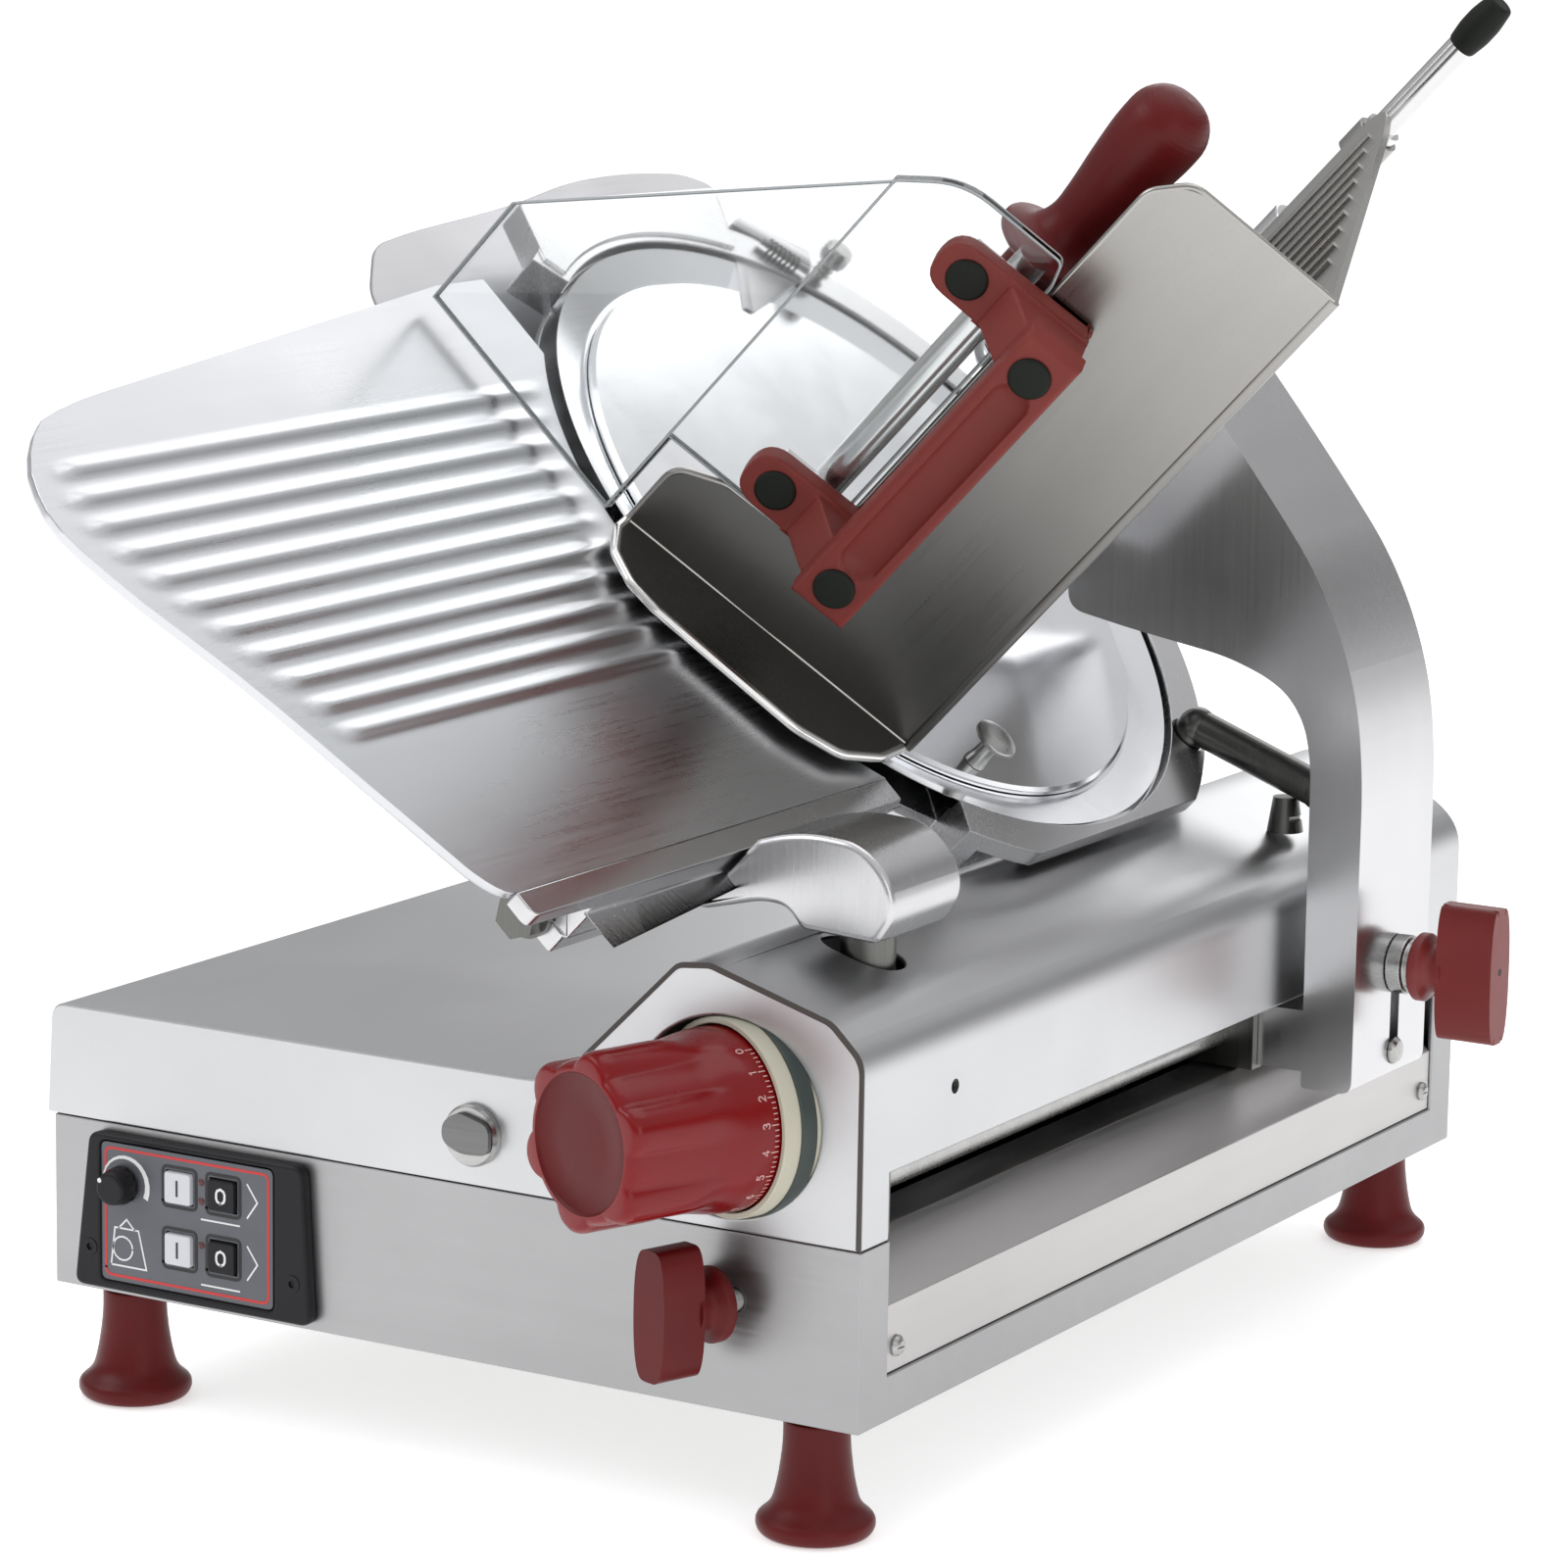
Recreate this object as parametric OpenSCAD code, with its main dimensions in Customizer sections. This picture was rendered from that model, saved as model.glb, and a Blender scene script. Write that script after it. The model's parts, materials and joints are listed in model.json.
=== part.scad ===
// Gravity-feed deli meat slicer with automatic carriage drive.
// All sizes in millimetres, +Z up, +X operator's right, -Y towards the operator.
// Working frame of the modules: the front right lower corner of the base pan.

/* [Base] */
// Width of the base pan
base_w = 385; // [385:1:385]
// Depth of the base pan
base_d = 549; // [549:1:549]
// Height of the seam between pan and top cover
seam_h = 72.6; // [70:0.2:74]
// Height of the slice receiving table
table_h = 119.4; // [118:0.2:121]
// Sheet thickness of pan and cover
sheet_t = 2.4; // [2:0.1:3]
// Height of the feet
foot_h = 48; // [40:1:60]

/* [Blade] */
// Blade diameter
blade_d = 330; // [320:1:330]
// Blade thickness at the boss
blade_t = 5; // [4:0.5:6]
// Diameter of the cover disc over the blade
disc_d = 292; // [280:1:296]
// Tilt of the feed axis above the horizontal
feed_a = 46.5; // [46.5:0.5:46.5]

/* [Gauge plate] */
// Slice thickness shown at rest
slice_t = 3; // [3:1:3]
// Number of ribs on the gauge plate
rib_n = 11; // [8:1:12]

/* [Carriage] */
// Angle of the tray's V about the feed axis
vee_a = 25; // [25:1:25]
// Width of the ribbed tray floor
floor_w = 232; // [220:1:232]
// Height of the tray fence
fence_h = 81; // [78:1:82]
// Thickness of the clear guard
guard_t = 5; // [4:0.5:5]
// Diameter of the pusher guide rod
rod_d = 12; // [12:1:12]

/* [Hidden] */
// Shift of the working frame so that the origin is at the middle of the foot print
ox = 147.684; oy = -190.998; oz = foot_h;
cu = 333; cy = 303;            // blade centre along the gauge slope and along Y
ba = 96;                       // cutting plane distance along the feed axis
ga = ba - slice_t;             // gauge face distance
vu = 227.4; vy = 198.3;        // bottom of the tray's V
kx = -57; ky = 9; kz = 117;      // centre of the recessed dial collar
kt = -20;                      // dial and lock knob lean towards the operator

// ---------- helpers ----------
function unit(v) = v / norm(v);
// outline with every corner rounded by a quadratic curve, r may be a number or a list
function rp(p, r, n = 6) = [for (i = [0:len(p)-1]) let(
    a = p[(i + len(p) - 1) % len(p)], b = p[i], c = p[(i + 1) % len(p)],
    q = is_list(r) ? r[i] : r,
    d = min(q, norm(a - b) * 0.49, norm(c - b) * 0.49),
    s = b + unit(a - b) * d, e = b + unit(c - b) * d)
    each (q <= 0 ? [b] : [for (k = [0:n]) let(t = k / n) (1-t)*(1-t)*s + 2*t*(1-t)*b + t*t*e])];
module at0() translate([ox, oy, oz]) children();
// extrude an X-Z outline from y0 to y1
module ye(y0, y1) translate([0, y1, 0]) rotate([90, 0, 0]) linear_extrude(y1 - y0) children();
// extrude a Y-Z outline from x0 to x1
module xe(x0, x1) translate([x0, 0, 0]) rotate([90, 0, 90]) linear_extrude(x1 - x0) children();
// feed frame: x = minus slope, y = Y, z = distance along the feed axis
module feed() rotate([0, 90 - feed_a, 0]) children();
// plate with a (slope, Y) outline between two distances along the feed axis
module fp(a0, a1) feed() translate([0, 0, a0]) linear_extrude(a1 - a0) mirror([1, 0]) children();
// blade frame: centred on the blade axis
module bl() feed() translate([-cu, cy, 0]) children();
// tray frame: -x up the fence, +y up the floor, z along the feed axis
module tray() feed() translate([-vu, vy, 0]) rotate([0, 0, vee_a]) children();
module te(z0, z1) tray() translate([0, 0, z0]) linear_extrude(z1 - z0) children();
module cyl(d, z0, z1, n = 64) translate([0, 0, z0]) cylinder(d = d, h = z1 - z0, $fn = n);
module alongx(x, y, z) translate([x, y, z]) rotate([0, 90, 0]) children();
// knob frame: z points out of the front, leaning by kt
module dialf() translate([kx, ky, kz]) rotate([0, 0, kt]) rotate([90, 0, 0]) children();
module lockf() translate([-60, -8.2, 45]) rotate([0, 0, kt]) rotate([90, 0, 0]) children();
module alongmy(x, y, z) translate([x, y, z]) rotate([90, 0, 0]) children();

// ---------- base ----------
cover_out = [[-388, seam_h], [-385.5, table_h], [-152, table_h], [-138, 120.5], [-83, 175], [-68.5, 176.5],
             [-14, 160.5], [0, 147], [0, seam_h]];
cover_rr = [0, 7, 6, 6, 7, 7, 12, 12, 0];
cover_in = [[-385.6, seam_h - 1], [-383.1, table_h - 2.4], [-151, table_h - 2.4], [-137, 118.1], [-82, 172.6], [-68.8, 174],
            [-15.5, 158.3], [-2.4, 145.5], [-2.4, seam_h - 1]];

module stud_holes() for (x = [-28, -base_w + 28], y = [17, base_d - 17]) translate([x, y, -5]) cylinder(d = 8.6, h = 10, $fn = 32);
module lower_body() at0() color([0.72, 0.72, 0.73]) difference() {
  translate([-base_w, 0, 0]) cube([base_w, base_d, seam_h - 0.4]);
  translate([-base_w + sheet_t, sheet_t, sheet_t]) cube([base_w - 2*sheet_t, base_d - 2*sheet_t, seam_h]);
  // opening underneath, closed by the bottom plate
  translate([-base_w + 22, 22, -1]) cube([base_w - 44, base_d - 44, 6]);
  // side window for the sill panel and the carriage slot
  translate([-10, 22, 18.5]) cube([20, 505, seam_h]);
  stud_holes();
  // inlet hole at the rear
  translate([-320, base_d - 6, 38]) rotate([-90, 0, 0]) cylinder(d = 20.2, h = 12, $fn = 48);
  // spindle hole of the lock knob
  lockf() translate([0, 0, -30]) cylinder(d = 10.3, h = 30, $fn = 48);
}
module bottom_plate() at0() color([0.6, 0.6, 0.62])
  difference() { translate([-base_w + 12, 12, -1.6]) cube([base_w - 24, base_d - 24, 1.5]); stud_holes(); }

module top_cover() at0() color([0.86, 0.86, 0.87]) difference() {
  ye(-1, base_d + 1) polygon(rp(cover_out, cover_rr));
  ye(1.4, base_d - 1.4) polygon(rp(cover_in, [0, 5, 6, 6, 7, 7, 10, 10, 0]));
  // carriage slot, open below into the side window
  translate([-10, 21, seam_h - 5]) cube([20, 506, 99 - seam_h + 5]);
  // passage of the belt housing through the ramp
  fp(22, 62) translate([120, 246]) square([80, 114]);
  // slotted passage of the gauge post
  for (dx = [3, -8]) translate([-44 + dx, 78, 150]) cylinder(d = 24, h = 40, $fn = 48);
  translate([-52, 66, 150]) cube([11, 24, 40]);
  // dial bore and oil port bore
  dialf() translate([0, 0, -18]) cylinder(d = 79.4, h = 60, $fn = 96);
  alongmy(-176, 10, 93.5) cylinder(d = 18.2, h = 24, $fn = 48);
  // small inspection hole on the side
  alongx(-10, 71, 123) cylinder(d = 6, h = 20, $fn = 32);
}
module side_panel() at0() color([0.76, 0.75, 0.75]) difference() {
  ye(22.3, 526.7) polygon([[-2.9, 18.8], [-1.1, 18.8], [-1.1, 46], [-24, 66], [-46, 66], [-46, 64.2], [-24.6, 64.2], [-2.9, 45.2]]);
  for (y = [30, 518.5]) alongx(-10, y, 28.6) cylinder(d = 4.3, h = 20, $fn = 32);
}
module side_screws() at0() color([0.7, 0.7, 0.7]) for (y = [30, 518.5]) alongx(-9, y, 28.6) difference() {
  union() { cyl(4.1, 0, 8.2, 32); translate([0, 0, 8]) rotate_extrude($fn = 48) polygon([[0, 0], [4.2, 0], [4.2, 0.8], [3.4, 2], [2, 2.7], [0, 3]]); }
  translate([-0.6, -5, 10.2]) cube([1.2, 10, 2]);
}
module foot_one() difference() {
  rotate_extrude($fn = 64) polygon(rp([[0, 0], [21, 0], [23.5, 3], [23.5, 7], [17.5, 12], [15, 22], [13.2, 36], [13.2, foot_h - 1.8], [0, foot_h - 1.8]],
    [0, 2, 2, 2, 5, 8, 8, 0, 0], 4));
  translate([0, 0, -1]) cylinder(d = 16, h = 5, $fn = 48);
}
module feet() at0() color([0.42, 0.06, 0.08]) for (x = [-28, -base_w + 28], y = [17, base_d - 17])
  translate([x, y, -foot_h]) { foot_one(); cyl(8, foot_h - 4, foot_h + 8, 32); }

module control_bezel() at0() color([0.09, 0.09, 0.1]) difference() {
  ye(-6, -0.1) polygon(rp([[-371, 3], [-363, 69], [-256, 69], [-252, 3]], 5));
  ye(-8, -4.4) polygon(rp([[-357, 7], [-357, 66], [-270, 66], [-270, 7]], 3));
  for (x = [-362.5, -260.5]) alongmy(x, 2, 20) cylinder(d = 7.3, h = 12, $fn = 32);
  // holes for the four keys, the speed knob and the lamps
  for (z = [25.5, 51.5]) { translate([-324, -10, z - 7]) cube([14, 14, 14]); translate([-302, -10, z - 7]) cube([14, 14, 14]); }
  alongmy(-345, 3, 49) cylinder(d = 6.1, h = 12, $fn = 32);
}
module bezel_plugs() at0() color([0.13, 0.13, 0.14]) for (x = [-362.5, -260.5]) alongmy(x, -0.2, 20) difference() {
  cyl(7.2, 0, 6.1, 32);
  translate([0, 0, 5.2]) cylinder(d = 3.4, h = 2, $fn = 6);
}
module control_membrane() at0() color([0.38, 0.4, 0.44]) difference() {
  ye(-5.4, -4.5) polygon(rp([[-356.7, 7.3], [-356.7, 65.7], [-270.3, 65.7], [-270.3, 7.3]], 2.8));
  for (z = [25.5, 51.5]) { translate([-324, -10, z - 7]) cube([14, 14, 14]); translate([-302, -10, z - 7]) cube([14, 14, 14]); }
  alongmy(-345, 3, 49) cylinder(d = 6.1, h = 12, $fn = 32);
  for (p = [[-306, 55.5], [-306, 47.5], [-306, 29]]) alongmy(p[0], 3, p[1]) cylinder(d = 3.1, h = 12, $fn = 32);
}
module indicator_leds() at0() color([0.85, 0.2, 0.15]) for (p = [[-306, 55.5], [-306, 47.5], [-306, 29]]) alongmy(p[0], -4.5, p[1])
  rotate_extrude($fn = 32) polygon([[0, 0], [1.5, 0], [1.5, 1], [1, 1.5], [0, 1.7]]);
module key(x, z) translate([x, 0, z]) ye(-7.4, -2.2) polygon(rp([[-6.6, -6.6], [-6.6, 6.6], [6.6, 6.6], [6.6, -6.6]], 1.5, 4));
module blade_start_button() at0() color([0.92, 0.92, 0.93]) key(-317, 51.5);
module blade_stop_button() at0() color([0.08, 0.08, 0.09]) key(-295, 51.5);
module carriage_start_button() at0() color([0.92, 0.92, 0.93]) key(-317, 25.5);
module carriage_stop_button() at0() color([0.08, 0.08, 0.09]) key(-295, 25.5);
module speed_knob() at0() color([0.07, 0.07, 0.08]) alongmy(-345, 0, 49) difference() {
  union() { cyl(6, 0.15, 7, 32); translate([0, 0, 6.4]) rotate_extrude($fn = 64) polygon([[0, 0], [8, 0], [8, 3], [6.8, 9], [6, 9.8], [0, 9.8]]); }
  for (i = [0:11]) rotate([0, 0, i * 30]) translate([8.6, 0, 5]) cylinder(d = 2, h = 14, $fn = 24);
}
module oil_port() at0() color([0.42, 0.42, 0.42]) alongmy(-176, -1.1, 93.5) difference() {
  union() { cyl(18, -12, 0.2, 48); rotate_extrude($fn = 64) polygon([[0, 0], [12.6, 0], [12.6, 2.5], [11.6, 4], [0, 4]]); }
  translate([-4, 0, -14]) cylinder(d = 9, h = 16.5, $fn = 32);
  translate([8, 0, 1]) cylinder(d = 3.3, h = 8, $fn = 32);
}
module oil_flap() at0() color([0.62, 0.62, 0.62]) alongmy(-176, -1.1, 93.5) union() {
  translate([8, 0, 1.2]) cylinder(d = 3.2, h = 3, $fn = 32);
  translate([0, 0, 4.3]) linear_extrude(2.4) polygon(rp([[11, -6], [11, 6], [-4, 10], [-11, 5], [-11, -3], [-2, -7]], 4));
  translate([0, 0, 4]) translate([8, 0, 0]) cylinder(d = 3.2, h = 1, $fn = 32);
}
module dial_collar() at0() color([0.72, 0.71, 0.64]) dialf() difference() {
  union() { rotate_extrude($fn = 96) polygon([[8.05, -18], [39.6, -18], [39.6, 2.4], [38.8, 3.6], [36.9, 3.6], [36.9, -15.5], [8.05, -15.5]]); }
  translate([0, 38.4, 3]) cube([1.4, 2, 8], center = true);
}
module power_gland() at0() color([0.1, 0.1, 0.1]) translate([-320, base_d, 38]) rotate([-90, 0, 0]) difference() {
  union() { cyl(20, -8, 0.5, 48); cyl(30, 0, 4, 6); translate([0, 0, 4]) rotate_extrude($fn = 48) polygon([[0, 0], [12, 0], [11, 10], [8.5, 14], [0, 14]]); }
  translate([0, 0, -10]) cylinder(d = 8, h = 30, $fn = 32);
}

// ---------- blade, housing and drive ----------
free_side = [[0, 0], [-140, -63], [-210, -120], [-210, -260], [215, -260], [190, -100], [158, -112]];
module ring2(r, w) intersection() { circle(r = r, $fn = 160); translate([-r, -200]) square([r + w, 400]); }
module blade_housing() at0() color([0.8, 0.8, 0.82]) difference() {
  union() {
    // ring around the blade, open towards the gauge plate
    bl() difference() {
      union() { translate([0, 0, 78]) linear_extrude(12.1) ring2(186, 157.5); translate([0, 0, 90]) linear_extrude(8.5) ring2(186, 171.5); }
      translate([0, 0, 84]) cylinder(r = blade_d/2 + 1.2, h = 12.5, $fn = 160);
      translate([0, 0, 92]) cylinder(r = blade_d/2 + 2.4, h = 10, $fn = 160);
      // leave the cutting side free
      translate([0, 0, 83]) linear_extrude(30) polygon(free_side);
      translate([0, 0, 70]) linear_extrude(30) difference() { polygon(free_side); circle(r = blade_d/2 + 1, $fn = 160); }
    }
    // straight guard block along the top of the ring
    difference() { fp(86, 100) polygon(rp([[497, 226], [529, 240], [524, 394], [488, 372], [470, 330], [476, 240]], [1, 3, 4, 2, 0, 0])); bl() cyl(2*(blade_d/2 + 6), 80, 110, 160); }
    // belt housing down into the base
    fp(24, 60) polygon(rp([[128, 250], [128, 356], [362, 356], [387, 338], [387, 268], [362, 250]], [4, 4, 14, 14, 14, 14]));
    // bearing boss
    bl() cyl(64, 50, 79);
  }
  // hollow of the belt housing
  fp(29, 55) polygon(rp([[100, 254], [100, 352], [362, 352], [383, 336], [383, 270], [362, 254]], [0, 0, 12, 12, 12, 12]));
  // bearing seat, recess of the hub flange and hole of the tie rod
  bl() { cyl(40.2, 50, 100); cyl(106, 79.2, 90); cyl(10, 20, 40); }
  // hole of the motor shaft
  feed() translate([-mu, cy, 0]) cyl(13, 20, 40, 48);
  // socket of the brace tube
  feed() translate([-192, 410, 0]) { cyl(16.1, 84, 110); cyl(18, 95, 110); }
  // hole of the spring pin
  bl() translate([-135, 118, 0]) cyl(5.1, 89.5, 110);
}
module deflector() at0() color([0.85, 0.85, 0.86]) union() {
  fp(66, 68) difference() {
    polygon(rp([[372, 215], [372, 150], [512, 140], [540, 172], [545, 208], [552, 290], [562, 350], [563, 400], [559, 441], [551, 457], [543, 458], [511, 437], [480, 415], [372, 400]], [0, 20, 14, 10, 10, 30, 30, 30, 10, 5, 4, 10, 6, 0]));
    translate([cu, cy]) circle(r = 34, $fn = 64);
  }
  for (p = [[485, 330], [400, 345], [470, 240]]) fp(68, 77.9) translate(p) circle(d = 12, $fn = 32);
}
module cover_disc() at0() color([0.88, 0.88, 0.9]) bl() difference() {
  union() {
    translate([0, 0, 92.2]) rotate_extrude($fn = 160) polygon([[0, 0], [disc_d/2, 0], [disc_d/2, 2], [disc_d/2 - 1.5, 3.4], [0, 3.4]]);
    // tie rod through the hollow shaft, with its nut behind the belt housing
    cyl(10, 16, 93, 48); cyl(22, 14, 23.8, 48);
  }
  translate([121, -61, 90]) cylinder(d = 8.2, h = 10, $fn = 32);
}
module cover_knob() at0() color([0.6, 0.6, 0.6]) bl() translate([121, -61, 0]) union() {
  cyl(8, 92.4, 97, 32);
  translate([0, 0, 95.8]) rotate_extrude($fn = 48) polygon(rp([[0, 0], [5, 0], [4, 5], [4, 12], [10, 13.5], [10, 15.5], [6, 17.5], [0, 18]], [0, 0, 2, 2, 0.8, 0.8, 3, 0], 4));
}
module blade() at0() color([0.8, 0.8, 0.83]) bl() difference() {
  rotate_extrude($fn = 200) polygon([[32, 85.5], [120, 86.5], [150, 91], [blade_d/2, ba - 0.4], [blade_d/2, ba], [148, 91.6], [146, 91.6], [32, 91.6]]);
  for (i = [0:2]) rotate([0, 0, i * 120]) translate([44, 0, 80]) cylinder(d = 6.6, h = 20, $fn = 32);
}
module blade_hub() at0() color([0.55, 0.55, 0.57]) bl() union() {
  difference() { union() { cyl(20, 31, 84); cyl(100, 80, 85.4); cyl(63.8, 85.3, 90); } cyl(11, 20, 100, 48); }
  difference() { translate([0, 0, 36]) rotate_extrude($fn = 96) polygon([[8, 0], [44, 0], [44, 1.5], [41.9, 2.5], [41.9, 13.5], [44, 14.5], [44, 16], [8, 16]]);
    for (i = [0:4]) rotate([0, 0, i * 72]) translate([26, 0, 30]) cylinder(d = 15, h = 30, $fn = 32); }
  for (i = [0:2]) rotate([0, 0, i * 120]) translate([44, 0, 85.3]) cylinder(d = 6.5, h = 5, $fn = 32);
}
module blade_bearings() at0() color([0.5, 0.5, 0.52]) bl() for (z = [56, 70]) difference() { cyl(40.2, z, z + 9); cyl(20.05, z - 1, z + 10); }
mu = 142; // motor axis along the slope
module motor_pulley() at0() color([0.55, 0.55, 0.57]) feed() translate([-mu, cy, 0]) union() {
  cyl(12, -8, 52, 48);
  translate([0, 0, 36]) rotate_extrude($fn = 64) polygon([[5, 0], [17, 0], [17, 1.5], [14.9, 2.5], [14.9, 13.5], [17, 14.5], [17, 16], [5, 16]]);
}
module drive_belt() at0() color([0.08, 0.08, 0.08]) fp(38.8, 49.2) {
  // flat loop around both pulleys, belt 2 mm thick
  difference() {
    union() { translate([cu, cy]) circle(r = 44, $fn = 96); translate([mu, cy]) circle(r = 17, $fn = 64);
      polygon(belt_q(44, 17)); }
    union() { translate([cu, cy]) circle(r = 42, $fn = 96); translate([mu, cy]) circle(r = 15, $fn = 64);
      polygon(belt_q(42, 15)); }
  }
}
// tangent quadrilateral of two circles on the slope axis
function belt_q(r1, r2) = let(d = cu - mu, s = (r1 - r2) / d, c = sqrt(1 - s*s))
  [[cu - r1*s, cy + r1*c], [mu - r2*s, cy + r2*c], [mu - r2*s, cy - r2*c], [cu - r1*s, cy - r1*c]];
module blade_motor() at0() color([0.25, 0.26, 0.28]) feed() translate([-mu, cy, 0]) difference() {
  union() { cyl(72, -70, 10); cyl(60, 9, 23.8); translate([-10, -49, -60]) cube([49, 98, 60]); }
  cyl(12.1, -9, 30, 48);
}
module guard_brace() at0() color([0.25, 0.25, 0.23]) union() {
  // short riser out of the ring, elbow and long tube over the base
  feed() translate([-192, 410, 0]) cyl(16, 84.5, 104.5, 48);
  translate([-67.3, 410, 208]) sphere(d = 17.2, $fn = 48);
  translate([-67.3, 410, 208]) rotate([0, 110.5, 0]) cyl(16, 0, 64.6, 48);
  translate([-6.8, 410, 185.4]) sphere(d = 17.2, $fn = 48);
}
module brace_pin() at0() color([0.5, 0.5, 0.48]) translate([-23, 410, 165.8]) difference() {
  rotate_extrude($fn = 48) polygon([[0, 0], [8, 0], [5.6, 15.4], [0, 15.4]]);
  translate([4.5, -10, 5]) cube([10, 20, 2.5]);
}
module lug_pin() at0() color([0.55, 0.55, 0.57]) bl() translate([-135, 118, 0]) union() {
  cyl(5, 90, 114, 32);
  translate([0, 0, 108]) rotate_extrude($fn = 48) polygon([[0, 0], [5.5, 0], [6.5, 2], [6.5, 7], [5.5, 9], [0, 9]]);
  for (i = [0:1]) translate([0, 0, 101.2 + i * 3.1]) rotate_extrude($fn = 48) translate([3.2, 0]) circle(d = 1.6, $fn = 16);
}

// ---------- thickness control ----------
module thickness_dial() at0() color([0.55, 0.04, 0.06]) dialf() difference() {
  union() {
    rotate_extrude($fn = 96) polygon([[0, -15.2], [35.8, -15.2], [35.8, 22], [33.6, 40], [32.2, 80], [31, 81.2], [30.2, 80.4], [0, 80.4]]);
    // grip lobes
    for (i = [0:5]) rotate([0, 0, i * 60 + 20]) translate([25.5, 0, 36]) intersection() {
      cylinder(d = 21, h = 44, $fn = 48);
      translate([-4, -20, 0]) cube([15.2, 40, 44]);
    }
  }
  // socket of the spindle
  translate([0, 0, -16]) cylinder(d = 15.9, h = 24, $fn = 48);
}
module dial_spindle() at0() color([0.55, 0.55, 0.57]) dialf() union() {
  cyl(15.9, -36, 7.5, 48);
  // face cam that drives the gauge slide
  cyl(28, -44, -35.5, 64);
}
module wing(h, l, w) { cyl(30, 0, 5); cyl(22, 4, 13); translate([0, 0, 12]) linear_extrude(h)
  polygon(rp([[-w/2 + 2, -l/2], [w/2 - 2, -l/2], [w/2 + 1, 0], [w/2 - 2, l/2], [-w/2 + 2, l/2], [-w/2 - 1, 0]], [6, 6, 12, 6, 6, 12], 5)); }
module lock_knob() at0() color([0.42, 0.07, 0.08]) lockf() { wing(20, 52, 17); cyl(10.2, -18, 1, 48); }

// ---------- gauge plate ----------
plate_o = [[466, -128], [460, -152], [447, -170], [428, -183], [410, -186], [372, -172], [335, -153], [299, -138], [258, -122], [232, -112], [218, -101], [218, 181],
           [260, 200], [470, 216], [497, 196], [496, 146]];
module gauge_plate() at0() color([0.8, 0.8, 0.82]) difference() {
  union() {
    fp(ga - 11, ga - 1.6) polygon(rp(plate_o, [14, 12, 14, 14, 12, 20, 20, 20, 20, 12, 8, 4, 0, 0, 6, 30]));
    fp(ga - 2, ga) polygon(rp([for (p = plate_o) [p[0] + (p[0] < 300 ? 1.2 : -1.2), p[1] + (p[1] < 0 ? 1.4 : 0)]], [14, 12, 14, 14, 12, 20, 20, 20, 20, 12, 8, 4, 0, 0, 6, 30]));
    // ribs along Y
    for (i = [0:rib_n - 1]) let(u = 436 - i * 13.6, y0 = u > 430 ? -160 : (u > 405 ? -170 : -172 + (405 - u) * 0.39))
      feed() translate([-u, y0, ga - 0.6]) rotate([-90, 0, 0]) cylinder(d = 4.4, h = 290, $fn = 24);
  }
  // clearance around the blade and the ring
  feed() translate([-cu, cy, 60]) cylinder(r = blade_d/2 + 4, h = 60, $fn = 160);
  feed() translate([-600, 184, 60]) cube([700, 200, 60]);
}
module gauge_rail() at0() color([0.78, 0.78, 0.8]) union() {
  fp(ga - 24, ga - 11.2) polygon(rp([[222, -51], [222, 158], [246, 158], [246, -51]], 2));
  fp(ga - 34, ga - 24.2) polygon(rp([[206, -52], [206, 150], [240, 150], [240, -52]], 2));
  fp(ga - 6, ga + 1) polygon(rp([[206, -98], [206, 176], [217.6, 176], [217.6, -98]], [4, 2, 0, 0]));
  fp(ga - 18, ga - 5) polygon(rp([[206, -51], [206, 170], [217.6, 170], [217.6, -51]], [1, 1, 0, 0]));
  fp(ga - 24.4, ga - 11) polygon(rp([[205, -51], [205, 158], [224, 158], [224, -51]], 1));
}
module gauge_bolt() at0() color([0.4, 0.4, 0.38]) feed() translate([-222, -52.3, ga - 28.5]) rotate([90, 0, 0]) {
  cylinder(d = 19.6, h = 3, $fn = 48); translate([0, 0, 3]) cylinder(d = 18.4, h = 8, $fn = 6); }
module gauge_bracket() at0() color([0.8, 0.8, 0.81]) difference() {
  ye(48, 104) polygon(rp([[-104, 184], [-106, 202], [-84, 214], [-58, 221], [-32, 219], [-20, 208], [-15, 194], [-24, 180], [-58, 182], [-64, 190], [-76, 191]],
    [4, 3, 12, 14, 12, 10, 8, 3, 3, 6, 8]));
  fp(ga - 34.1, ga + 60) polygon([[204.9, -400], [204.9, 400], [600, 400], [600, -400]]);
  translate([-44, 78, 160]) cylinder(d = 22, h = 38, $fn = 48);
}
module gauge_post() at0() color([0.45, 0.45, 0.43]) union() {
  translate([-44, 78, 132]) cyl(22, 0, 66, 48);
  // foot of the post with the cam follower
  translate([-59, 60, 108]) cube([27, 34, 24.5]);
}

// ---------- carriage ----------
module carriage_arm() at0() color([0.83, 0.83, 0.84]) difference() {
  union() {
    ye(369, 444) polygon(rp([[8, 62], [32, 62], [32.3, 200], [29, 232], [20, 262], [6, 290], [-12, 314], [-34, 342], [-70, 386], [-112, 420], [-112, 262], [-82, 256], [-34, 248],
      [-15, 241], [-4, 234], [4, 222], [7.6, 205], [8, 104]], [2, 6, 30, 20, 16, 16, 16, 16, 0, 0, 8, 10, 16, 12, 8, 8, 12, 2]));
    // head under the tray floor
    te(140, 300) polygon([[3.2, 128], [20, 128], [20, 226], [3.2, 226]]);
    // foot through the slot
    translate([-14, 371, 69]) cube([24, 71, 27]);
  }
  tray() translate([-497, -500, -500]) cube([500.1, 1500, 1500]);
  // channel of the pusher rod and its sleeve
  tray() translate([-477, 233, -500]) cube([500, 500, 1500]);
  // long slot and keyhole on the outside
  xe(24, 40) polygon(rp([[407, 72], [407, 118], [416, 118], [416, 72]], 4));
  alongx(24, 411.5, 74) cylinder(d = 12.4, h = 20, $fn = 48);
  alongx(-20, 411.5, 113) cylinder(d = 12.1, h = 60, $fn = 48);
}
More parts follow.
